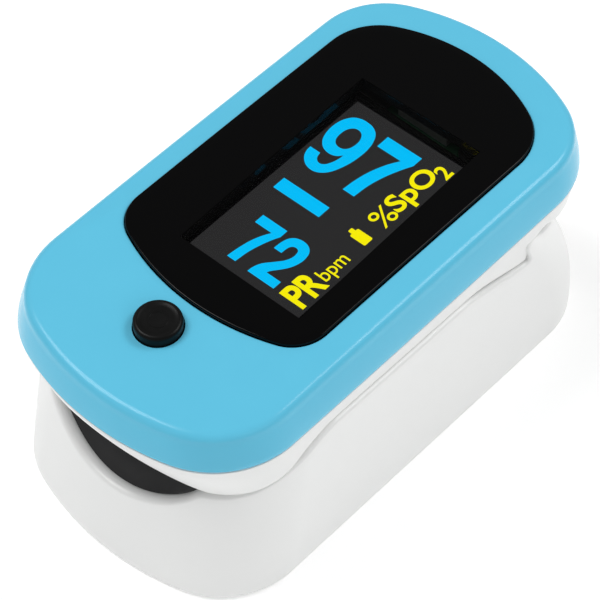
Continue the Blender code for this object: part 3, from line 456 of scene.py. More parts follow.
CHIP = surface("chip_black", (0.018, 0.018, 0.018), 0.52, (0.028, 0.028, 0.028), bump=0.2)
RESIN = surface(
    "clear_resin", (0.80, 0.84, 0.86), 0.10, bump=0.01, vary=0.03, Alpha=0.35, Specular_IOR_Level=0.6
)
METAL = {"Metallic": 1.0, "patch": 900, "bump": 0.05}
STEEL = surface("spring_steel", (0.62, 0.62, 0.64), 0.24, (0.52, 0.52, 0.54), **METAL)
NICKEL = surface("nickel_contact", (0.72, 0.70, 0.65), 0.22, (0.62, 0.60, 0.55), Metallic=1.0, patch=700)
PANE = surface("window_pane", (0.002, 0.002, 0.002), 0.06, **CLEAR, Alpha=0.30, Specular_IOR_Level=0.1)
TRACKS = [((-1.5 + 0.5 * i) * MM, (-1.25 + 0.5 * i) * MM) for i in range(6)]  # the ribbon's copper
FLEX = two_tone("flex_polyimide", (0.55, 0.24, 0.03), (0.72, 0.40, 0.16), 0.34, "X", TRACKS)
DISPLAY_PITCH = 0.185 * MM  # one pixel of the display
DISPLAY_GREY = lit("display_dark", (0.0235, 0.0235, 0.0240), (0.0200, 0.0200, 0.0205))
DISPLAY_CYAN = lit("display_cyan", (0.0, 0.520, 0.960), (0.0, 0.480, 0.900))
DISPLAY_YELLOW = lit("display_yellow", (0.960, 0.870, 0.002), (0.880, 0.800, 0.001))


# ---------------- upper jaw


def quarter(start, end, steps):
    """(inset, depth) points of a rounded edge from an upright side to a level top."""
    points = []
    for i in range(steps + 1):
        angle = HALF_PI * i / steps
        inset = start[0] + (end[0] - start[0]) * (1 - math.cos(angle))
        depth = start[1] + (end[1] - start[1]) * math.sin(angle)
        points.append((inset, depth))
    return points


def make_cover():
    rings = []
    for inset, rise in ((0.45, 0.0), (0.16, 0.0), (0.04, 0.05), (0.0, 0.16)):
        rings.append(ring(cover_plan(inset * MM), lambda y, r=rise: rim(y) + r * MM))
    for i in range(1, 7):
        share = i / 7
        level = lambda y, s=share: rim(y) + 0.16 * MM + (crown(y) - 1.3 * MM - rim(y) - 0.16 * MM) * s
        rings.append(ring(cover_plan(0.8 * MM * share**1.3), level))
    for inset, depth in quarter((0.8, 1.3), (1.8, 0.4), 10):
        rings.append(ring(cover_plan(inset * MM), below_crown(depth * MM)))
    edge = outline(cover_plan(1.8 * MM))
    seat = outline(window_plan(-0.10 * MM))
    for i in range(1, 8):
        share = i / 7
        mixed = [(a[0] + (b[0] - a[0]) * share, a[1] + (b[1] - a[1]) * share) for a, b in zip(edge, seat)]
        rings.append([(x, y, crown(y) - 0.4 * MM * (1 - share)) for x, y in mixed])
    for inset, depth in ((0.0, 0.03), (0.03, 0.12), (0.03, 0.85), (0.8, 0.85), (0.8, 1.35)):
        rings.append(ring(window_plan(inset * MM), below_crown(depth * MM)))
    rings.append(ring(cover_plan(3.2 * MM), below_crown(1.6 * MM)))
    rings.append(ring(cover_plan(2.4 * MM), below_crown(2.4 * MM)))
    rings.append(ring(cover_plan(1.4 * MM), rim))
    mesh = mesh_of(skin(rings, closed=True), "top_cover_fine")
    hole = bmesh.new()
    axis = button_frame()
    rod(hole, 2.5 * MM, axis @ mm(0, 0, -3), axis @ mm(0, 0, 3), 96)
    mesh = combine(mesh, hole)
    new_object("top_cover_fine", mesh, BLUE, "upper_jaw", ["top_cover"], 28)


def button_frame():
    step = 0.1 * MM
    slope = (crown(BUTTON_Y + step) - crown(BUTTON_Y - step)) / (2 * step)
    return Matrix.Translation((0, BUTTON_Y, crown(BUTTON_Y))) @ Matrix.Rotation(math.atan(slope), 4, "X")


def make_button():
    top, radius = 1.0, 2.38
    profile = [(0.0, top - 0.10), (0.6, top - 0.10), (0.80, top - 0.10), (0.86, top - 0.05)]
    profile += [(0.98, top - 0.05), (1.04, top - 0.10), (1.5, top - 0.10), (1.78, top - 0.09)]
    profile += [(1.90, top - 0.03), (2.02, top)]
    for angle in arc(0.15, HALF_PI, 8):
        profile.append((radius - 0.40 + 0.40 * math.sin(angle), top - 0.38 * (1 - math.cos(angle))))
    profile += [(radius, -1.55), (3.1, -1.55), (3.1, -1.8), (2.2, -1.8), (2.2, -1.2)]
    profile += [(0.9, -1.2), (0.9, -2.23), (0.0, -2.23)]
    mesh = mesh_of(turned(profile, 96, button_frame()), "button_cap")
    new_object("button_cap", mesh, BUTTON, "button", ["power_button"], 30)


def arc(start, end, steps):
    return [start + (end - start) * i / steps for i in range(steps + 1)]


DISPLAY_TURN = math.radians(1.6)
DISPLAY_CENTRE = Vector((0.82 * MM, 1.61 * MM, 0.0))
DISPLAY_HALF = (6.9 * MM, 12.75 * MM)
DISPLAY_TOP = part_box("display_module")[1][2] + 0.06 * MM
DISPLAY_FRAME = Matrix.Translation(DISPLAY_CENTRE) @ Matrix.Rotation(DISPLAY_TURN, 4, "Z")


def lens_blank():
    rings = [ring(window_plan(0.5 * MM), below_crown(0.7 * MM))]
    rings.append(ring(window_plan(0.12 * MM), below_crown(0.7 * MM)))
    rings.append(ring(window_plan(0.12 * MM), below_crown(-0.20 * MM)))
    for inset, depth in quarter((0.12, -0.20), (0.27, -0.35), 5):
        rings.append(ring(window_plan(inset * MM), below_crown(depth * MM)))
    for inset in (1.2, 2.4, 3.6):
        rings.append(ring(window_plan(inset * MM), below_crown(-0.35 * MM)))
    return mesh_of(skin(rings), "lens")


def make_lens():
    corners = [Vector((-6.85, -13.80, 20)) * MM, Vector((8.20, 13.25, 30)) * MM]
    opening = bmesh.new()
    block(opening, corners[0], corners[1], DISPLAY_FRAME)
    mesh = combine(lens_blank(), opening)
    new_object("lens_surround", mesh, LENS, "upper_jaw", ["display_lens"], 30)
    gap, thickness = Vector((0.01, 0.01, 0)) * MM, Vector((0.06, 0.06, 0)) * MM
    for name, inset, material in (("lens_shade", gap, FOAM), ("lens_pane", thickness + gap, PANE)):
        clear = bmesh.new()
        block(clear, corners[0] + inset, corners[1] - inset, DISPLAY_FRAME)
        mesh = combine(lens_blank(), clear, "INTERSECT")
        if name == "lens_shade":
            inner = bmesh.new()
            block(inner, corners[0] + thickness, corners[1] - thickness, DISPLAY_FRAME)
            mesh = combine(mesh, inner)
            mesh.transform(Matrix.Translation((0, 0, -0.06 * MM)))
        new_object(name, mesh, material, "upper_jaw", ["display_lens"], 30)


def unit(name, text, centre, size, weight):
    """A reading's unit, which reads from the display's long side, fitted into a box on it, in mm."""
    data = bpy.data.curves.new(name, "FONT")
    data.body = text
    data.offset = weight
    data.extrude = 0.02
    data.resolution_u = 8
    mesh = mesh_from_curve(data, name)
    fit_glyph(mesh, centre, size, False)
    new_object(name, mesh, DISPLAY_YELLOW, "upper_jaw", sharp=30)


def fit_glyph(mesh, centre, size, upright):
    low = [min(v.co[i] for v in mesh.vertices) for i in range(3)]
    high = [max(v.co[i] for v in mesh.vertices) for i in range(3)]
    for vert in mesh.vertices:
        share = [(vert.co[i] - low[i]) / (high[i] - low[i]) for i in range(3)]
        along, across = (share[0] - 0.5) * size[0] * MM, (share[1] - 0.5) * size[1] * MM
        u, v = (along, across) if upright else (-across, along)
        place = Vector((centre[0] * MM + u, centre[1] * MM + v, DISPLAY_TOP + (0.03 + 0.03 * share[2]) * MM))
        vert.co = DISPLAY_FRAME @ place


def eased(corners, steps=6):
    """A closed contour through (x, y, sharp) corners, curved through those that aren't sharp."""
    points, count = [], len(corners)
    for i in range(count):
        before, here, there, after = (corners[(i + k) % count] for k in (-1, 0, 1, 2))
        start, end = Vector(here[:2]), Vector(there[:2])
        leave = (end - Vector(before[:2])) / 2 if not here[2] else (end - start)
        arrive = (Vector(after[:2]) - start) / 2 if not there[2] else (end - start)
        straight = here[2] and there[2]
        for k in range(1 if straight else steps):
            t = k / steps
            a, b = 2 * t**3 - 3 * t**2 + 1, t**3 - 2 * t**2 + t
            c, d = -2 * t**3 + 3 * t**2, t**3 - t**2
            points.append(start * a + leave * b + end * c + arrive * d)
    return points


def digit(name, contours, centre, size):
    """A lit digit from closed contours, fitted into a box on the display."""
    data = bpy.data.curves.new(name, "CURVE")
    data.dimensions = "2D"
    data.fill_mode = "BOTH"
    data.extrude = 0.5
    for contour in contours:
        points = eased(contour)
        spline = data.splines.new("POLY")
        spline.points.add(len(points) - 1)
        for point, co in zip(spline.points, points):
            point.co = (co.x, -co.y, 0.0, 1.0)
        spline.use_cyclic_u = True
    mesh = mesh_from_curve(data, name)
    fit_glyph(mesh, centre, size, True)
    new_object(name, mesh, DISPLAY_CYAN, "upper_jaw", sharp=30)


# Contours of the digits: across, down and whether the corner is sharp, in 1/38 mm.
NINE = [(0, 105, 0), (6, 60, 0), (27, 21, 0), (57, 3, 0), (89, 0, 0), (122, 6, 0), (152, 28, 0), (171, 66, 0)]
NINE += [(179, 106, 0), (180, 145, 0), (176, 190, 0), (166, 236, 0), (147, 285, 0), (120, 316, 0)]
NINE += [(88, 328, 0), (52, 321, 0), (22, 296, 0), (8, 266, 0), (5, 240, 1), (54, 240, 1), (60, 263, 0)]
NINE += [(73, 278, 0), (90, 282, 0), (108, 270, 0), (121, 243, 0), (128, 212, 0), (129, 190, 1)]
NINE += [(112, 210, 0), (82, 220, 0), (47, 212, 0), (20, 187, 0), (5, 150, 0)]
NINE_HOLE = [(48, 112, 0), (52, 82, 0), (68, 59, 0), (89, 53, 0), (110, 62, 0), (125, 86, 0)]
NINE_HOLE += [(129, 116, 0), (124, 146, 0), (110, 165, 0), (88, 171, 0), (66, 163, 0), (52, 142, 0)]
SEVEN = [(0, 0, 1), (166, 0, 1), (166, 50, 1), (144, 98, 0), (120, 164, 0), (103, 236, 0), (96, 316, 1)]
SEVEN += [(42, 316, 1), (48, 250, 0), (62, 182, 0), (86, 116, 0), (115, 63, 1), (0, 63, 1)]
SMALL_SEVEN = [(0, 0, 1), (118, 0, 1), (118, 38, 1), (103, 72, 0), (88, 118, 0), (76, 170, 0), (70, 233, 1)]
SMALL_SEVEN += [(31, 233, 1), (36, 185, 0), (46, 130, 0), (61, 85, 0), (81, 45, 1), (0, 45, 1)]
TWO = [(0, 240, 1), (3, 212, 0), (16, 180, 0), (44, 146, 0), (68, 116, 0), (80, 88, 0), (81, 64, 0)]
TWO += [(75, 47, 0), (61, 41, 0), (46, 47, 0), (38, 64, 0), (36, 95, 1), (0, 95, 1), (2, 62, 0)]
TWO += [(10, 30, 0), (30, 8, 0), (61, 0, 0), (92, 7, 0), (113, 29, 0), (120, 62, 0), (117, 92, 0)]
TWO += [(106, 124, 0), (86, 155, 0), (64, 183, 0), (56, 200, 1), (125, 200, 1), (125, 240, 1)]


def make_display():
    build = bmesh.new()
    low = (-DISPLAY_HALF[0], -DISPLAY_HALF[1], DISPLAY_TOP - 0.04 * MM)
    block(build, low, (DISPLAY_HALF[0], DISPLAY_HALF[1], DISPLAY_TOP), DISPLAY_FRAME)
    bmesh.ops.subdivide_edges(build, edges=build.edges, cuts=3, use_grid_fill=True)
    mesh = mesh_of(build, "display_area")
    new_object("display_area", mesh, DISPLAY_GREY, "upper_jaw")
    digit("digit_nine", (NINE, NINE_HOLE), (-4.21, 6.82), (4.72, 8.62))
    digit("digit_seven", (SEVEN,), (0.72, 6.80), (4.37, 8.32))
    digit("digit_seven_small", (SMALL_SEVEN,), (-2.42, -8.14), (3.11, 6.14))
    digit("digit_two", (TWO,), (1.20, -8.17), (3.29, 6.32))
    for name, text, centre, size, weight in (
        ("unit_percent", "%", (4.86, 2.54), (2.5, 2.35), 0.0),
        ("unit_oxygen", "SpO", (5.02, 7.07), (6.35, 2.97), 0.022),
        ("unit_oxygen_two", "2", (5.65, 10.93), (1.24, 1.84), 0.020),
        ("unit_pulse", "PR", (5.09, -9.44), (3.9, 3.0), 0.028),
        ("unit_per_minute", "bpm", (5.55, -5.56), (3.62, 2.1), 0.0),
    ):
        unit(name, text, centre, size, weight)
    for name, low, high, radius, material in (
        ("reading_dash", (-5.63, -1.68), (0.24, -0.07), 0.02, DISPLAY_CYAN),
        ("battery_symbol", (4.02, -1.50), (5.92, -0.28), 0.16, DISPLAY_YELLOW),
        ("battery_symbol_tip", (3.52, -1.17), (4.10, -0.61), 0.12, DISPLAY_YELLOW),
    ):
        new_object(name, rounded_bar(low, high, radius), material, "upper_jaw")


def rounded_bar(low, high, radius):
    """A thin lit bar on the display with rounded corners, in the display's frame, in millimetres."""
    rows = []
    for level in (0.03, 0.06):
        row = []
        for index, (x, y) in enumerate(((low[0], low[1]), (high[0], low[1]), high, (low[0], high[1]))):
            start = math.pi + HALF_PI * index
            centre_x = x + (radius if x == low[0] else -radius)
            centre_y = y + (radius if y == low[1] else -radius)
            for angle in arc(start, start + HALF_PI, 6):
                spot = (centre_x + radius * math.cos(angle), centre_y + radius * math.sin(angle), level)
                row.append(DISPLAY_FRAME @ (Vector(spot) * MM + Vector((0, 0, DISPLAY_TOP))))
        rows.append(row)
    return slab(rows, "bar")


def make_gasket():
    low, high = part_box("display_gasket")
    build = bmesh.new()
    block(build, low, high)
    bmesh.ops.bevel(build, geom=build.edges, offset=0.1 * MM, segments=2, affect="EDGES")
    opening = bmesh.new()
    block(opening, mm(-7.4, -13.05, 20), mm(7.4, 13.05, 30), DISPLAY_FRAME)
    mesh = combine(mesh_of(build, "gasket"), opening)
    new_object("gasket_frame", mesh, FOAM, "upper_jaw", ["display_gasket"])


def skirt_bottom(x, y):
    """Height of the upper shell's lower edge: over the seam, and an arch over the finger opening."""
    level = seam(y) + 0.14 * MM
    if y > 16.5 * MM:
        level += (19.7 * MM - level) * min(1.0, (y - 16.5 * MM) / (2.5 * MM))
    if y < -15 * MM and abs(x) < UPPER_ARCH_RADIUS:
        centre = UPPER_ARCH_TOP - UPPER_ARCH_RADIUS
        level = max(level, centre + math.sqrt(UPPER_ARCH_RADIUS**2 - x * x))
    return level


def skirt_spot(u, height, inset):
    """Point of the skirt's wall, which leans in over the lower casing's wall at the front corners."""
    upper = plan_at(cover_plan(0.45 * MM + inset), u)
    lower = plan_at(lower_plan(14.9 * MM, 0.15 * MM + inset), u)
    drop = max(0.0, (20.5 * MM - height) / (5.9 * MM))
    share = (1 - ease(upper[1], -18 * MM, -8 * MM)) * min(1.0, 1.12 * drop**1.3)
    return tuple(a + (b - a) * share for a, b in zip(upper, lower))


def skirt_ring(entry, bottoms):
    """A ring of the skirt. The entry gives the inset and height at a share of the half outline."""
    right = []
    for i, bottom in enumerate(bottoms):
        inset, height = entry(bottom, i / (len(bottoms) - 1))
        right.append((*skirt_spot(i / (len(bottoms) - 1), height, inset), height))
    return right + [(-x, y, z) for x, y, z in right[-2:0:-1]]


def make_upper_shell():
    steps = 200

    def near_rim(drop):
        return lambda y: rim(y) - drop * MM

    bottoms = []
    for i in range(steps + 1):
        height = UPPER_ARCH_TOP
        for _ in range(8):
            x, y = skirt_spot(i / steps, height, 0.0)
            height = (height + skirt_bottom(x, y)) / 2
        bottoms.append(height)
    rings = [ring(cover_plan(1.8 * MM), 21.5 * MM, steps), ring(cover_plan(1.8 * MM), 20.6 * MM, steps)]
    turn = 0.28 * MM
    for angle in arc(0, HALF_PI, 5):
        inset, rise = 1.35 * MM - turn * (1 - math.cos(angle)), turn * (1 - math.sin(angle))
        rings.append(skirt_ring(lambda bottom, u, i=inset, r=rise: (i, bottom + r), bottoms))
    for angle in arc(HALF_PI, 0, 6):
        inset, rise = turn * (1 - math.cos(angle)), turn * (1 - math.sin(angle))
        rings.append(skirt_ring(lambda bottom, u, i=inset, r=rise: (i, bottom + r), bottoms))
    top = [rim(plan_at(cover_plan(0.45 * MM), i / steps)[1]) - 0.62 * MM for i in range(steps + 1)]
    for share in (0.12, 0.25, 0.4, 0.55, 0.7, 0.85):

        def entry(bottom, u, share=share):
            low = bottom + turn
            return 0.0, low + (top[round(u * steps)] - low) * share

        rings.append(skirt_ring(entry, bottoms))
    for inset, drop in ((0.44, 0.62), (0.34, 0.56), (0.20, 0.52), (0.10, 0.44), (0.08, 0.34), (0.12, 0.24)):
        rings.append(ring(cover_plan(inset * MM), near_rim(drop), steps))
    for inset, rise in ((0.25, -0.2), (1.85, -0.2), (1.85, 0.7), (2.75, 0.7)):
        rings.append(ring(cover_plan(inset * MM), near_rim(-rise), steps))
    rings.append(ring(cover_plan(2.75 * MM), 22.3 * MM, steps))
    mesh = mesh_of(skin(rings), "upper_shell_fine")
    cuts = bmesh.new()
    for side in (-1, 1):
        start = (side * 12.95 * MM, PIVOT.y, PIVOT.z)
        rod(cuts, 3.0 * MM, start, (side * 20 * MM, PIVOT.y, PIVOT.z), 96)
    block(cuts, mm(-2.6, 22.9, 20), mm(2.6, 25.4, 23))
    block(cuts, (-2 * MM, OPTIC_Y - 1.6 * MM, 20 * MM), (2 * MM, OPTIC_Y + 1.6 * MM, 23 * MM))
    for side in (-1, 1):
        rod(cuts, 0.95 * MM, (side * 7.2 * MM, 23.3 * MM, 20 * MM), (side * 7.2 * MM, 23.3 * MM, 23 * MM))
    mesh = combine(mesh, cuts)
    new_object("upper_shell_fine", mesh, WHITE, "upper_jaw", ["upper_shell"], 30)
    make_cheeks()


def make_cheeks():
    """The two plates that carry the upper jaw on the pin, with rounded edges and a boss round the pin."""
    side_view = [(3.6, 21.9), (5.0, 18.2), (9.5, 16.4)]
    centre_y, centre_z = PIVOT.y / MM, PIVOT.z / MM
    for angle in arc(math.radians(235), math.radians(360), 24):
        side_view.append((centre_y + 2.6 * math.cos(angle), centre_z + 2.6 * math.sin(angle)))
    side_view.append((centre_y + 2.6, 21.9))
    for side, name in ((-1, "cheek_left"), (1, "cheek_right")):
        loops = [[(side * x * MM, y * MM, z * MM) for y, z in side_view] for x in (11.4, 12.9)]
        hole = bmesh.new()
        rod(hole, 1.1 * MM, (side * 10 * MM, PIVOT.y, PIVOT.z), (side * 15 * MM, PIVOT.y, PIVOT.z), 48)
        mesh = combine(slab(loops, name), hole)
        made = new_object(name, mesh, WHITE, "upper_jaw", sharp=30)
        soften(made)


def soften(obj):
    edges = obj.modifiers.new("edges", "BEVEL")
    edges.width = 0.15 * MM
    edges.segments = 2
    edges.limit_method = "ANGLE"
    edges.angle_limit = math.radians(40)
    edges.harden_normals = True


# ---------------- soft pads


def blanket(name, boundary, centre, top, thickness, edge):
    """A pad with rounded edges: rings that shrink from its boundary to its centre, top and bottom."""
    shares = [1.0, 0.99, 0.978, 0.96, 0.935, 0.9, 0.85, 0.78, 0.7, 0.6, 0.5, 0.4, 0.3, 0.2, 0.1, 0.04]
    upper, lower = [], []
    for share in shares:
        row_top, row_low = [], []
        for x, y in boundary:
            px, py = centre[0] + (x - centre[0]) * share, centre[1] + (y - centre[1]) * share
            away = (1 - share) * math.hypot(x - centre[0], y - centre[1])
            drop = 0.0
            if away < edge:
                drop = edge - math.sqrt(max(0.0, edge**2 - (edge - away) ** 2))
            height = top(px, py)
            sign = 1 if thickness < 0 else -1
            row_top.append((px, py, height - sign * drop))
            row_low.append((px, py, height + thickness + sign * min(drop, 0.25 * abs(thickness))))
        upper.append(row_top)
        lower.append(row_low)
    return mesh_of(skin(upper[::-1] + lower), name)


def pad_boundary(plan, rear, corner=1.2 * MM, steps=110):
    """The plan's outline cut straight across at a rear limit, with rounded corners there."""
    right = []
    for i in range(steps + 1):
        x, y = plan(0.62 * i / steps)
        if y > rear - corner:
            break
        right.append((x, y))
    last_x = right[-1][0]
    for angle in arc(0, HALF_PI, 8):
        right.append((last_x - corner + corner * math.cos(angle), rear - corner + corner * math.sin(angle)))
    for share in arc(0, 1, 24)[1:]:
        right.append(((last_x - corner) * (1 - share), rear))
    return right + [(-x, y) for x, y in right[-2:0:-1]]


def make_pads():

    def within_wall(u):
        height = 12 * MM
        for _ in range(6):
            x, y = plan_at(lower_plan(height, WALL - 0.36 * MM), u)
            height = (height + pad_surface(max(-12.9 * MM, min(12.9 * MM, x)), y)) / 2
        return x, y

    boundary = pad_boundary(within_wall, PAD_REAR)
    boundary = [(max(-12.9 * MM, min(12.9 * MM, x)), y) for x, y in boundary]
    mesh = blanket("lower_pad", boundary, (0.0, -12 * MM), pad_surface, -1.0 * MM, 0.22 * MM)
    hole = bmesh.new()
    half = 3.1 * MM
    block(hole, (-half, OPTIC_Y - half, 10 * MM), (half, OPTIC_Y + half, 20 * MM))
    mesh = combine(mesh, hole)
    new_object("lower_pad", mesh, RUBBER, "lower_jaw", ["lower_finger_pad"], 40)
    boundary = pad_boundary(lambda u: plan_at(cover_plan(2.4 * MM), u), 3.2 * MM)
    boundary = [(max(-12.4 * MM, min(12.4 * MM, x)), y) for x, y in boundary]
    mesh = blanket("upper_pad", boundary, (0.0, -12 * MM), roof_surface, 0.9 * MM, 0.4 * MM)
    hole = bmesh.new()
    low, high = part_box("emitter_window")
    gap = 0.25 * MM
    block(hole, (low[0] - gap, low[1] - gap, 15 * MM), (high[0] + gap, high[1] + gap, 25 * MM))
    mesh = combine(mesh, hole)
    new_object("upper_pad", mesh, RUBBER, "upper_jaw", ["upper_finger_pad"], 40)


# ---------------- lower casing


def half_path():
    """The casing's upper edge on the right half, as (distance along the wall, height), evenly spaced."""
    samples = 2000
    spots = [plan_at(lower_plan(16.5 * MM), i / samples) for i in range(samples + 1)]
    length = sum(math.hypot(b[0] - a[0], b[1] - a[1]) for a, b in zip(spots, spots[1:]))
    table = [(length * i / samples, x, y) for i, (x, y) in enumerate(spots)]

    def at_x(x):
        return next(row for row in table if row[1] >= x)

    def at_y(y):
        return next(row[0] for row in table if row[2] >= y)

    points = []
    for angle in arc(0, 1.3, 200):
        distance, _, y = at_x(ARCH_RADIUS * math.sin(angle))
        height = ARCH_CENTRE - ARCH_RADIUS * math.cos(angle)
        if height >= seam(y):
            break
        points.append((distance, height))
    ear_start = at_y(PIVOT.y - EAR_RADIUS)
    points += [(d, seam(y)) for d, _, y in table[::4] if points[-1][0] < d < ear_start]
    pivot_d = at_y(PIVOT.y)
    for angle in arc(math.pi, math.radians(35), 32):
        points.append((pivot_d + EAR_RADIUS * math.cos(angle), PIVOT.z + EAR_RADIUS * math.sin(angle)))
    points += [(d, TAIL_TOP) for d in arc(at_y(21.4 * MM), length, 60)]
    return smooth_path(points, length), length


def smooth_path(points, length, spacing=0.14 * MM, spread=3.2):
    """Evenly spaced points of the path with its corners eased."""
    total = [0.0]
    for a, b in zip(points, points[1:]):
        total.append(total[-1] + math.hypot(b[0] - a[0], b[1] - a[1]))
    count = round(total[-1] / spacing)
    even, j = [], 0
    for i in range(count + 1):
        d = total[-1] * i / count
        while j < len(total) - 2 and total[j + 1] < d:
            j += 1
        span = total[j + 1] - total[j]
        share = (d - total[j]) / span if span > 1e-12 else 0.0
        a, b = points[j], points[j + 1]
        even.append((a[0] + (b[0] - a[0]) * share, a[1] + (b[1] - a[1]) * share))
    reach = math.ceil(3 * spread)
    weights = [math.exp(-0.5 * (k / spread) ** 2) for k in range(-reach, reach + 1)]
    norm = sum(weights)
    eased = []
    last = len(even) - 1
    for i in range(len(even)):
        s = z = 0.0
        for k, weight in zip(range(-reach, reach + 1), weights):
            j = i + k
            if j < 0:
                ps, pz = -even[-j][0], even[-j][1]
            elif j > last:
                ps, pz = 2 * length - even[2 * last - j][0], even[2 * last - j][1]
            else:
                ps, pz = even[j]
            s += ps * weight
            z += pz * weight
        eased.append((s / norm, z / norm))
    return eased


def make_lower_shell():
    path, length = half_path()
    path = path[::2] if (len(path) - 1) % 2 == 0 else path[::2] + [path[-1]]
    last = len(path) - 1
    normals = []
    for i in range(last + 1):
        a, b = path[max(i - 1, 0)], path[min(i + 1, last)]
        ds, dz = b[0] - a[0], b[1] - a[1]
        if i in (0, last):
            dz = 0.0
        size = math.hypot(ds, dz)
        normals.append((dz / size, -ds / size))
    travelled = [0.0]
    for a, b in zip(path, path[1:]):
        travelled.append(travelled[-1] + math.hypot(b[0] - a[0], b[1] - a[1]))
    even = [t / travelled[-1] * length for t in travelled]

    def spot(s, z, depth):
        u = min(1.0, max(0.0, s / length))
        return (*plan_at(lower_plan(z, depth), u), z)

    def offset_row(away, depth):
        row, furthest = [], -1.0
        for (s, z), (ns, nz) in zip(path, normals):
            here = s + ns * away
            furthest = max(furthest + 1e-6, here)
            row.append((min(furthest, length), z + nz * away, depth))
        row[0] = (0.0, *row[0][1:])
        row[-1] = (length, *row[-1][1:])
        return row

    rows = []
    base_level = 0.7 * MM
    lip_out = offset_row(LIP, 0.0)
    lip_in = offset_row(LIP, WALL)
    for inset in (0.7, 0.45, 0.21, 0.06):
        level = 0.7 - math.sqrt(0.49 - (0.7 - inset) ** 2)
        rows.append([(e, level * MM, inset * MM) for e in even])
    for i in range(15):
        share = i / 15
        blend = share**0.8
        rise = [base_level + (z - base_level) * share for _, z, _ in lip_out]
        rows.append([(e + (row[0] - e) * blend, z, 0.0) for row, e, z in zip(lip_out, even, rise)])
    for angle in arc(0, HALF_PI, 6):
        rows.append(offset_row(LIP * (1 - math.sin(angle)), WALL / 2 * (1 - math.cos(angle))))
    for angle in arc(HALF_PI, 0, 6)[1:]:
        rows.append(offset_row(LIP * (1 - math.sin(angle)), WALL / 2 * (1 + math.cos(angle))))
    for i in range(1, 9):
        share = i / 8
        row = [(s + (e - s) * share, z + (WALL - z) * share) for (s, z, _), e in zip(lip_in, even)]
        rows.append([(*place, WALL) for place in row])
    rings = []
    for row in rows:
        right = [spot(*entry) for entry in row]
        rings.append(right + [(-x, y, z) for x, y, z in right[-2:0:-1]])
    mesh = mesh_of(skin(rings), "lower_shell_fine")
    cuts = bmesh.new()
    edge = 11.9 * MM
    block(cuts, (-edge, -21.5 * MM, -1 * MM), (edge, 26 * MM, 3 * MM))
    mesh = combine(mesh, cuts)
    cuts = bmesh.new()
    block(cuts, mm(-12.7, 24.5, -1), mm(12.7, 40, 3.2))
    block(cuts, mm(-13.15, 9, 14), mm(13.15, 21.3, 25))
    for side in (-1, 1):
        x, y = side * 8.5 * MM, -25.6 * MM
        rod(cuts, 1.8 * MM, (x, y, -1 * MM), (x, y, 1.0 * MM), 64)
    mesh = combine(mesh, cuts)
    cuts = bmesh.new()
    for side in (-1, 1):
        x, y = side * 8.5 * MM, -25.6 * MM
        rod(cuts, 0.95 * MM, (x, y, 0.5 * MM), (x, y, 3.0 * MM), 32)
    mesh = combine(mesh, cuts)
    new_object("lower_shell_fine", mesh, WHITE, "lower_jaw", ["lower_shell"], 32)


def make_door_lip():
    """The door's lip, as wide as its opening and flush with the tail."""
    sections = []
    for i in range(-60, 61):
        side = 1 if i >= 0 else -1
        u = 1 - abs(i) / 60 * 0.155
        outer = [(*plan_at(lower_plan(z * MM), u), z * MM) for z in (1.0, 1.4, 1.9, 2.4, 2.8)]
        outer.append((*plan_at(lower_plan(2.9 * MM, 0.08 * MM), u), 2.9 * MM))
        inner = [(*plan_at(lower_plan(z * MM, 1.25 * MM), u), z * MM) for z in (2.9, 1.0)]
        sections.append([(side * x, y, z) for x, y, z in outer + inner])
    mesh = mesh_of(skin(sections), "door_lip")
    new_object("door_lip", mesh, WHITE, "door")


# ---------------- hardware


def fine_box(source, material, body, bevel):
    """A block with rounded edges in place of a CAD block."""
    low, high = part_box(source)
    build = bmesh.new()
    block(build, low, high)
    bmesh.ops.bevel(build, geom=build.edges, offset=bevel * MM, segments=2, affect="EDGES")
    name = source + "_fine"
    new_object(name, mesh_of(build, name), material, body, [source], 30)


def bend_at_hinge(piece, node_name):
    """Bakes the piece's placement into its mesh and hides the CAD node that it replaces."""
    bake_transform(piece)
    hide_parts(node_name)


def make_pin_and_springs():
    low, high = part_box("hinge_pin")
    half, radius = high[0] / MM, (high[2] - low[2]) / 2 / MM
    ease_in = 0.25
    profile = [(0, half), (radius - ease_in, half), (radius, half - ease_in)]
    profile += [(radius, -half + ease_in), (radius - ease_in, -half), (0, -half)]
    matrix = Matrix.Translation(PIVOT) @ Matrix.Rotation(HALF_PI, 4, "Y")
    mesh = mesh_of(turned(profile, 48, matrix), "pin")
    new_object("hinge_pin_fine", mesh, STEEL, "lower_jaw", ["hinge_pin"])
    for name, side in (("torsion_spring_left", -1), ("torsion_spring_right", 1)):
        first, pitch, turns, radius = 4.2, 0.85, 4.5, 1.85
        path = [(side * first, 24.4, 20.7), (side * first, 21.0, 19.95)]
        steps = round(turns * 30)
        for i in range(steps + 1):
            angle = HALF_PI + 2 * math.pi * i / 30
            x = side * (first + pitch * i / 30)
            path.append((x, PIVOT.y / MM + radius * math.cos(angle), PIVOT.z / MM + radius * math.sin(angle)))
        end = path[-1][0]
        path += [(end, 21.0, 14.75), (end, 23.6, 13.9)]
        points = [Vector(point) * MM for point in path]
        mesh = wire_mesh(points, 0.35 * MM, name, level=4)
        coil = new_object(name + "_wire", mesh, STEEL, None, sharp=50)
        bend_at_hinge(coil, name)


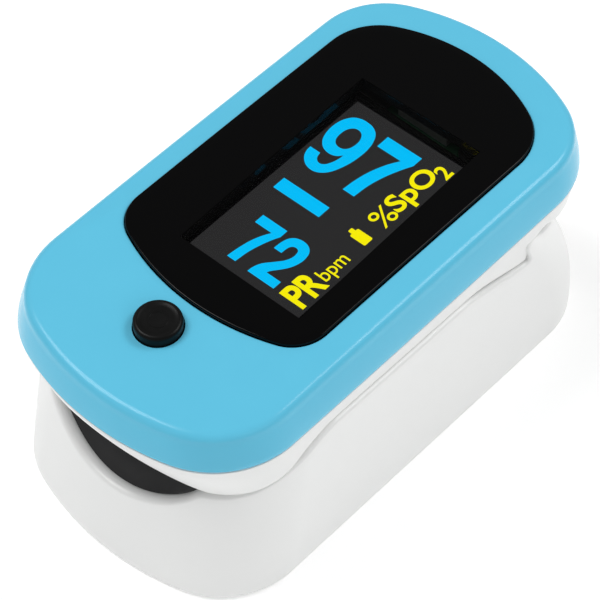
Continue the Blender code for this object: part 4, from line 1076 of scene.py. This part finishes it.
def make_screws():
    for name, place, length, body in (
        ("base_screw_left", (-8.5, -25.6, 0.95), 7.0, "lower_jaw"),
        ("base_screw_right", (8.5, -25.6, 0.95), 7.0, "lower_jaw"),
        ("tail_screw_left", (-7.2, 23.3, 21.4), 3.6, "upper_jaw"),
        ("tail_screw_right", (7.2, 23.3, 21.4), 3.6, "upper_jaw"),
    ):
        profile = [(0.0, length), (0.35, length), (0.62, length - 0.6)]
        z = length - 0.6
        while z > 0.35:
            profile += [(0.80, z - 0.11), (0.80, z - 0.14), (0.62, z - 0.26)]
            z -= 0.34
        profile += [(0.62, 0.0), (1.50, 0.0), (1.50, -0.22)]
        profile += [(1.50 - 0.5 * (1 - math.cos(a)), -0.22 - 0.5 * math.sin(a)) for a in arc(0.2, HALF_PI, 6)]
        profile += [(0.5, -0.74), (0.0, -0.75)]
        matrix = Matrix.Translation(Vector(place) * MM)
        mesh = mesh_of(turned(profile, 48, matrix), name)
        for x, y in ((0.95, 0.20), (0.20, 0.95)):
            cross = bmesh.new()
            block(cross, mm(-x, -y, -1.2), mm(x, y, -0.38), matrix)
            mesh = combine(mesh, cross)
        new_object(name + "_fine", mesh, STEEL, body, [name], 30)


def make_cells():
    start_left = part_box("battery_left")[0][1]
    start_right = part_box("battery_right")[0][1]
    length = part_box("battery_left")[1][1] - start_left
    for name, start, forwards in (("battery_left", start_left, True), ("battery_right", start_right, False)):
        low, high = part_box(name)
        centre = ((low[0] + high[0]) / 2, 0, (low[2] + high[2]) / 2)
        origin = Vector((centre[0], start if forwards else start + length, centre[2]))
        matrix = Matrix.Translation(origin) @ Matrix.Rotation(-HALF_PI if forwards else HALF_PI, 4, "X")
        body = length / MM - 0.8
        can = [(0, length / MM), (1.6, length / MM), (1.9, length / MM - 0.25), (1.9, body + 0.1)]
        can += [(2.1, body), (4.3, body), (4.7, body - 0.15), (4.9, body - 0.5), (4.9, 0.45)]
        can += [(4.6, 0.1), (4.2, 0.0), (3.6, 0.0), (3.3, 0.12), (0, 0.12)]
        mesh = mesh_of(turned(can, 72, matrix), name)
        new_object(name + "_can", mesh, NICKEL, "lower_jaw", [name], 30)
        sleeve = [(4.92, body - 0.35), (5.1, body - 0.3), (5.2, body - 0.5)]
        sleeve += [(5.2, 0.5), (5.1, 0.32), (4.92, 0.36)]
        band = start + (32 if forwards else 30) * MM
        edges = [(band, band + 12 * MM)]
        wrap = two_tone(name + "_wrap", (0.030, 0.034, 0.045), (0.42, 0.27, 0.10), 0.30, "Y", edges)
        mesh = mesh_of(turned(sleeve, 72, matrix, closed=True), name + "_sleeve")
        new_object(name + "_sleeve", mesh, wrap, "lower_jaw", [name], 30)


def make_contacts():
    for name, x, base, tip in (
        ("front_negative_spring", -5.6, -22.28, -20.52),
        ("rear_negative_spring", 5.6, 24.28, 22.82),
    ):
        path = []
        for i in range(3 * 30 + 1):
            share = i / 90
            angle = 6 * math.pi * share
            radius = 3.2 - 1.5 * share
            y = base + (tip - base) * share
            path.append(mm(x + radius * math.cos(angle), y, 6.75 + radius * math.sin(angle)))
        mesh = wire_mesh(path, 0.22 * MM, name, level=3)
        new_object(name + "_wire", mesh, NICKEL, "lower_jaw", [name], 50)


def make_small_parts():
    fine_box("detector_window", RESIN, "lower_jaw", 0.15)
    fine_box("emitter_window", RESIN, "upper_jaw", 0.15)
    fine_box("microcontroller", CHIP, "upper_jaw", 0.06)
    fine_box("power_inductor", CHIP, "upper_jaw", 0.3)
    fine_box("photodiode", CHIP, "lower_jaw", 0.05)
    ridges = bmesh.new()
    for i in range(6):
        y = (13.0 + 1.5 * i) * MM
        block(ridges, (-4.5 * MM, y, 0.02 * MM), (4.5 * MM, y + 0.7 * MM, 0.3 * MM))
    bmesh.ops.bevel(ridges, geom=ridges.edges, offset=0.08 * MM, segments=2, affect="EDGES")
    new_object("door_grip_ridges", mesh_of(ridges, "ridges"), WHITE, "door")


KEPT = {
    "battery_door": WHITE,
    "pad_carrier": INNER,
    "battery_holder": INNER,
    "flex_connector": INNER,
    "main_board": GREEN,
    "detector_board": GREEN,
    "display_module": GLASS,
    "tactile_switch": CHIP,
    "switch_plunger": NICKEL,
    "front_positive_plate": NICKEL,
    "rear_bridge_plate": NICKEL,
    "emitter_leds": RESIN,
}


def dress_kept_nodes():
    for name, material in KEPT.items():
        obj = frame["nodes"][name]
        for slot in obj.material_slots:
            slot.material = material
    ribbon = new_object("flex_ribbon", frame["nodes"]["flex_cable"].data.copy(), FLEX, None)
    bend_at_hinge(ribbon, "flex_cable")


# ---------------- stage


LIGHT_AIM = Vector((0, 0, 0.012))
SOFTBOXES = (  # name, place in m, size in m, power in W, mirrored in glossy surfaces
    ("softbox_rear_right", (0.27, 0.42, 0.62), (0.40, 0.25), 2.45, True),
    ("softbox_front_left", (-0.32, -0.20, 0.62), (0.30, 0.35), 2.6, True),
    ("softbox_right", (0.55, -0.10, 0.30), (0.40, 0.30), 0.62, False),
    ("softbox_front", (-0.10, -0.60, 0.28), (0.45, 0.25), 0.42, False),
)


def area_light(name, place, size, power, mirrored):
    """A softbox that faces the object. One that isn't mirrored lights it without a reflection in it."""
    data = bpy.data.lights.new(name, "AREA")
    data.shape = "RECTANGLE"
    data.size, data.size_y = size
    data.energy = power
    lamp = bpy.data.objects.new(name, data)
    bpy.context.scene.collection.objects.link(lamp)
    lamp.location = place
    lamp.visible_glossy = mirrored
    lamp.rotation_euler = (LIGHT_AIM - Vector(place)).to_track_quat("-Z", "Y").to_euler()


def make_stage():
    build = bmesh.new()
    bmesh.ops.create_grid(build, x_segments=8, y_segments=8, size=3.0)
    mesh = mesh_of(build, "floor")
    pale = surface("floor_pale", (0.96, 0.96, 0.96), 0.75, (0.95, 0.95, 0.95), patch=3, bump=0.0)
    glow = pale.node_tree.nodes["Principled BSDF"].inputs
    glow["Emission Color"].default_value = (1.0, 1.0, 1.0, 1.0)
    glow["Emission Strength"].default_value = 0.20
    floor = new_object("floor", mesh, pale, None)
    floor.location.z = -0.00002
    world = bpy.data.worlds.new("studio")
    bpy.context.scene.world = world
    world.use_nodes = True
    sky = world.node_tree.nodes["Background"]
    sky.inputs["Color"].default_value = (1.0, 1.0, 1.0, 1.0)
    sky.inputs["Strength"].default_value = 0.30
    for softbox in SOFTBOXES:
        area_light(*softbox)
    bpy.context.scene.view_settings.view_transform = "Standard"
    bpy.context.scene.view_settings.look = "None"


def make_camera():
    data = bpy.data.cameras.new("camera")
    data.sensor_width = 36.0
    data.lens = 141.2
    data.clip_start = 0.01
    data.clip_end = 20.0
    camera = bpy.data.objects.new("camera", data)
    bpy.context.scene.collection.objects.link(camera)
    right = Vector((0.73790486, 0.67466524, 0.0179784))
    down = Vector((0.53445059, -0.56786531, -0.62601242))
    ahead = Vector((-0.41213951, 0.47154618, -0.77960582))
    turn = Matrix((right, -down, -ahead)).transposed()
    camera.matrix_world = Matrix.Translation((0.09833, -0.11372, 0.19829)) @ turn.to_4x4()
    bpy.context.scene.camera = camera


for make in (
    make_cover,
    make_lens,
    make_display,
    make_gasket,
    make_button,
    make_upper_shell,
    make_pads,
    make_lower_shell,
    make_door_lip,
    make_pin_and_springs,
    make_screws,
    make_cells,
    make_contacts,
    make_small_parts,
    dress_kept_nodes,
    make_stage,
    make_camera,
):
    make()
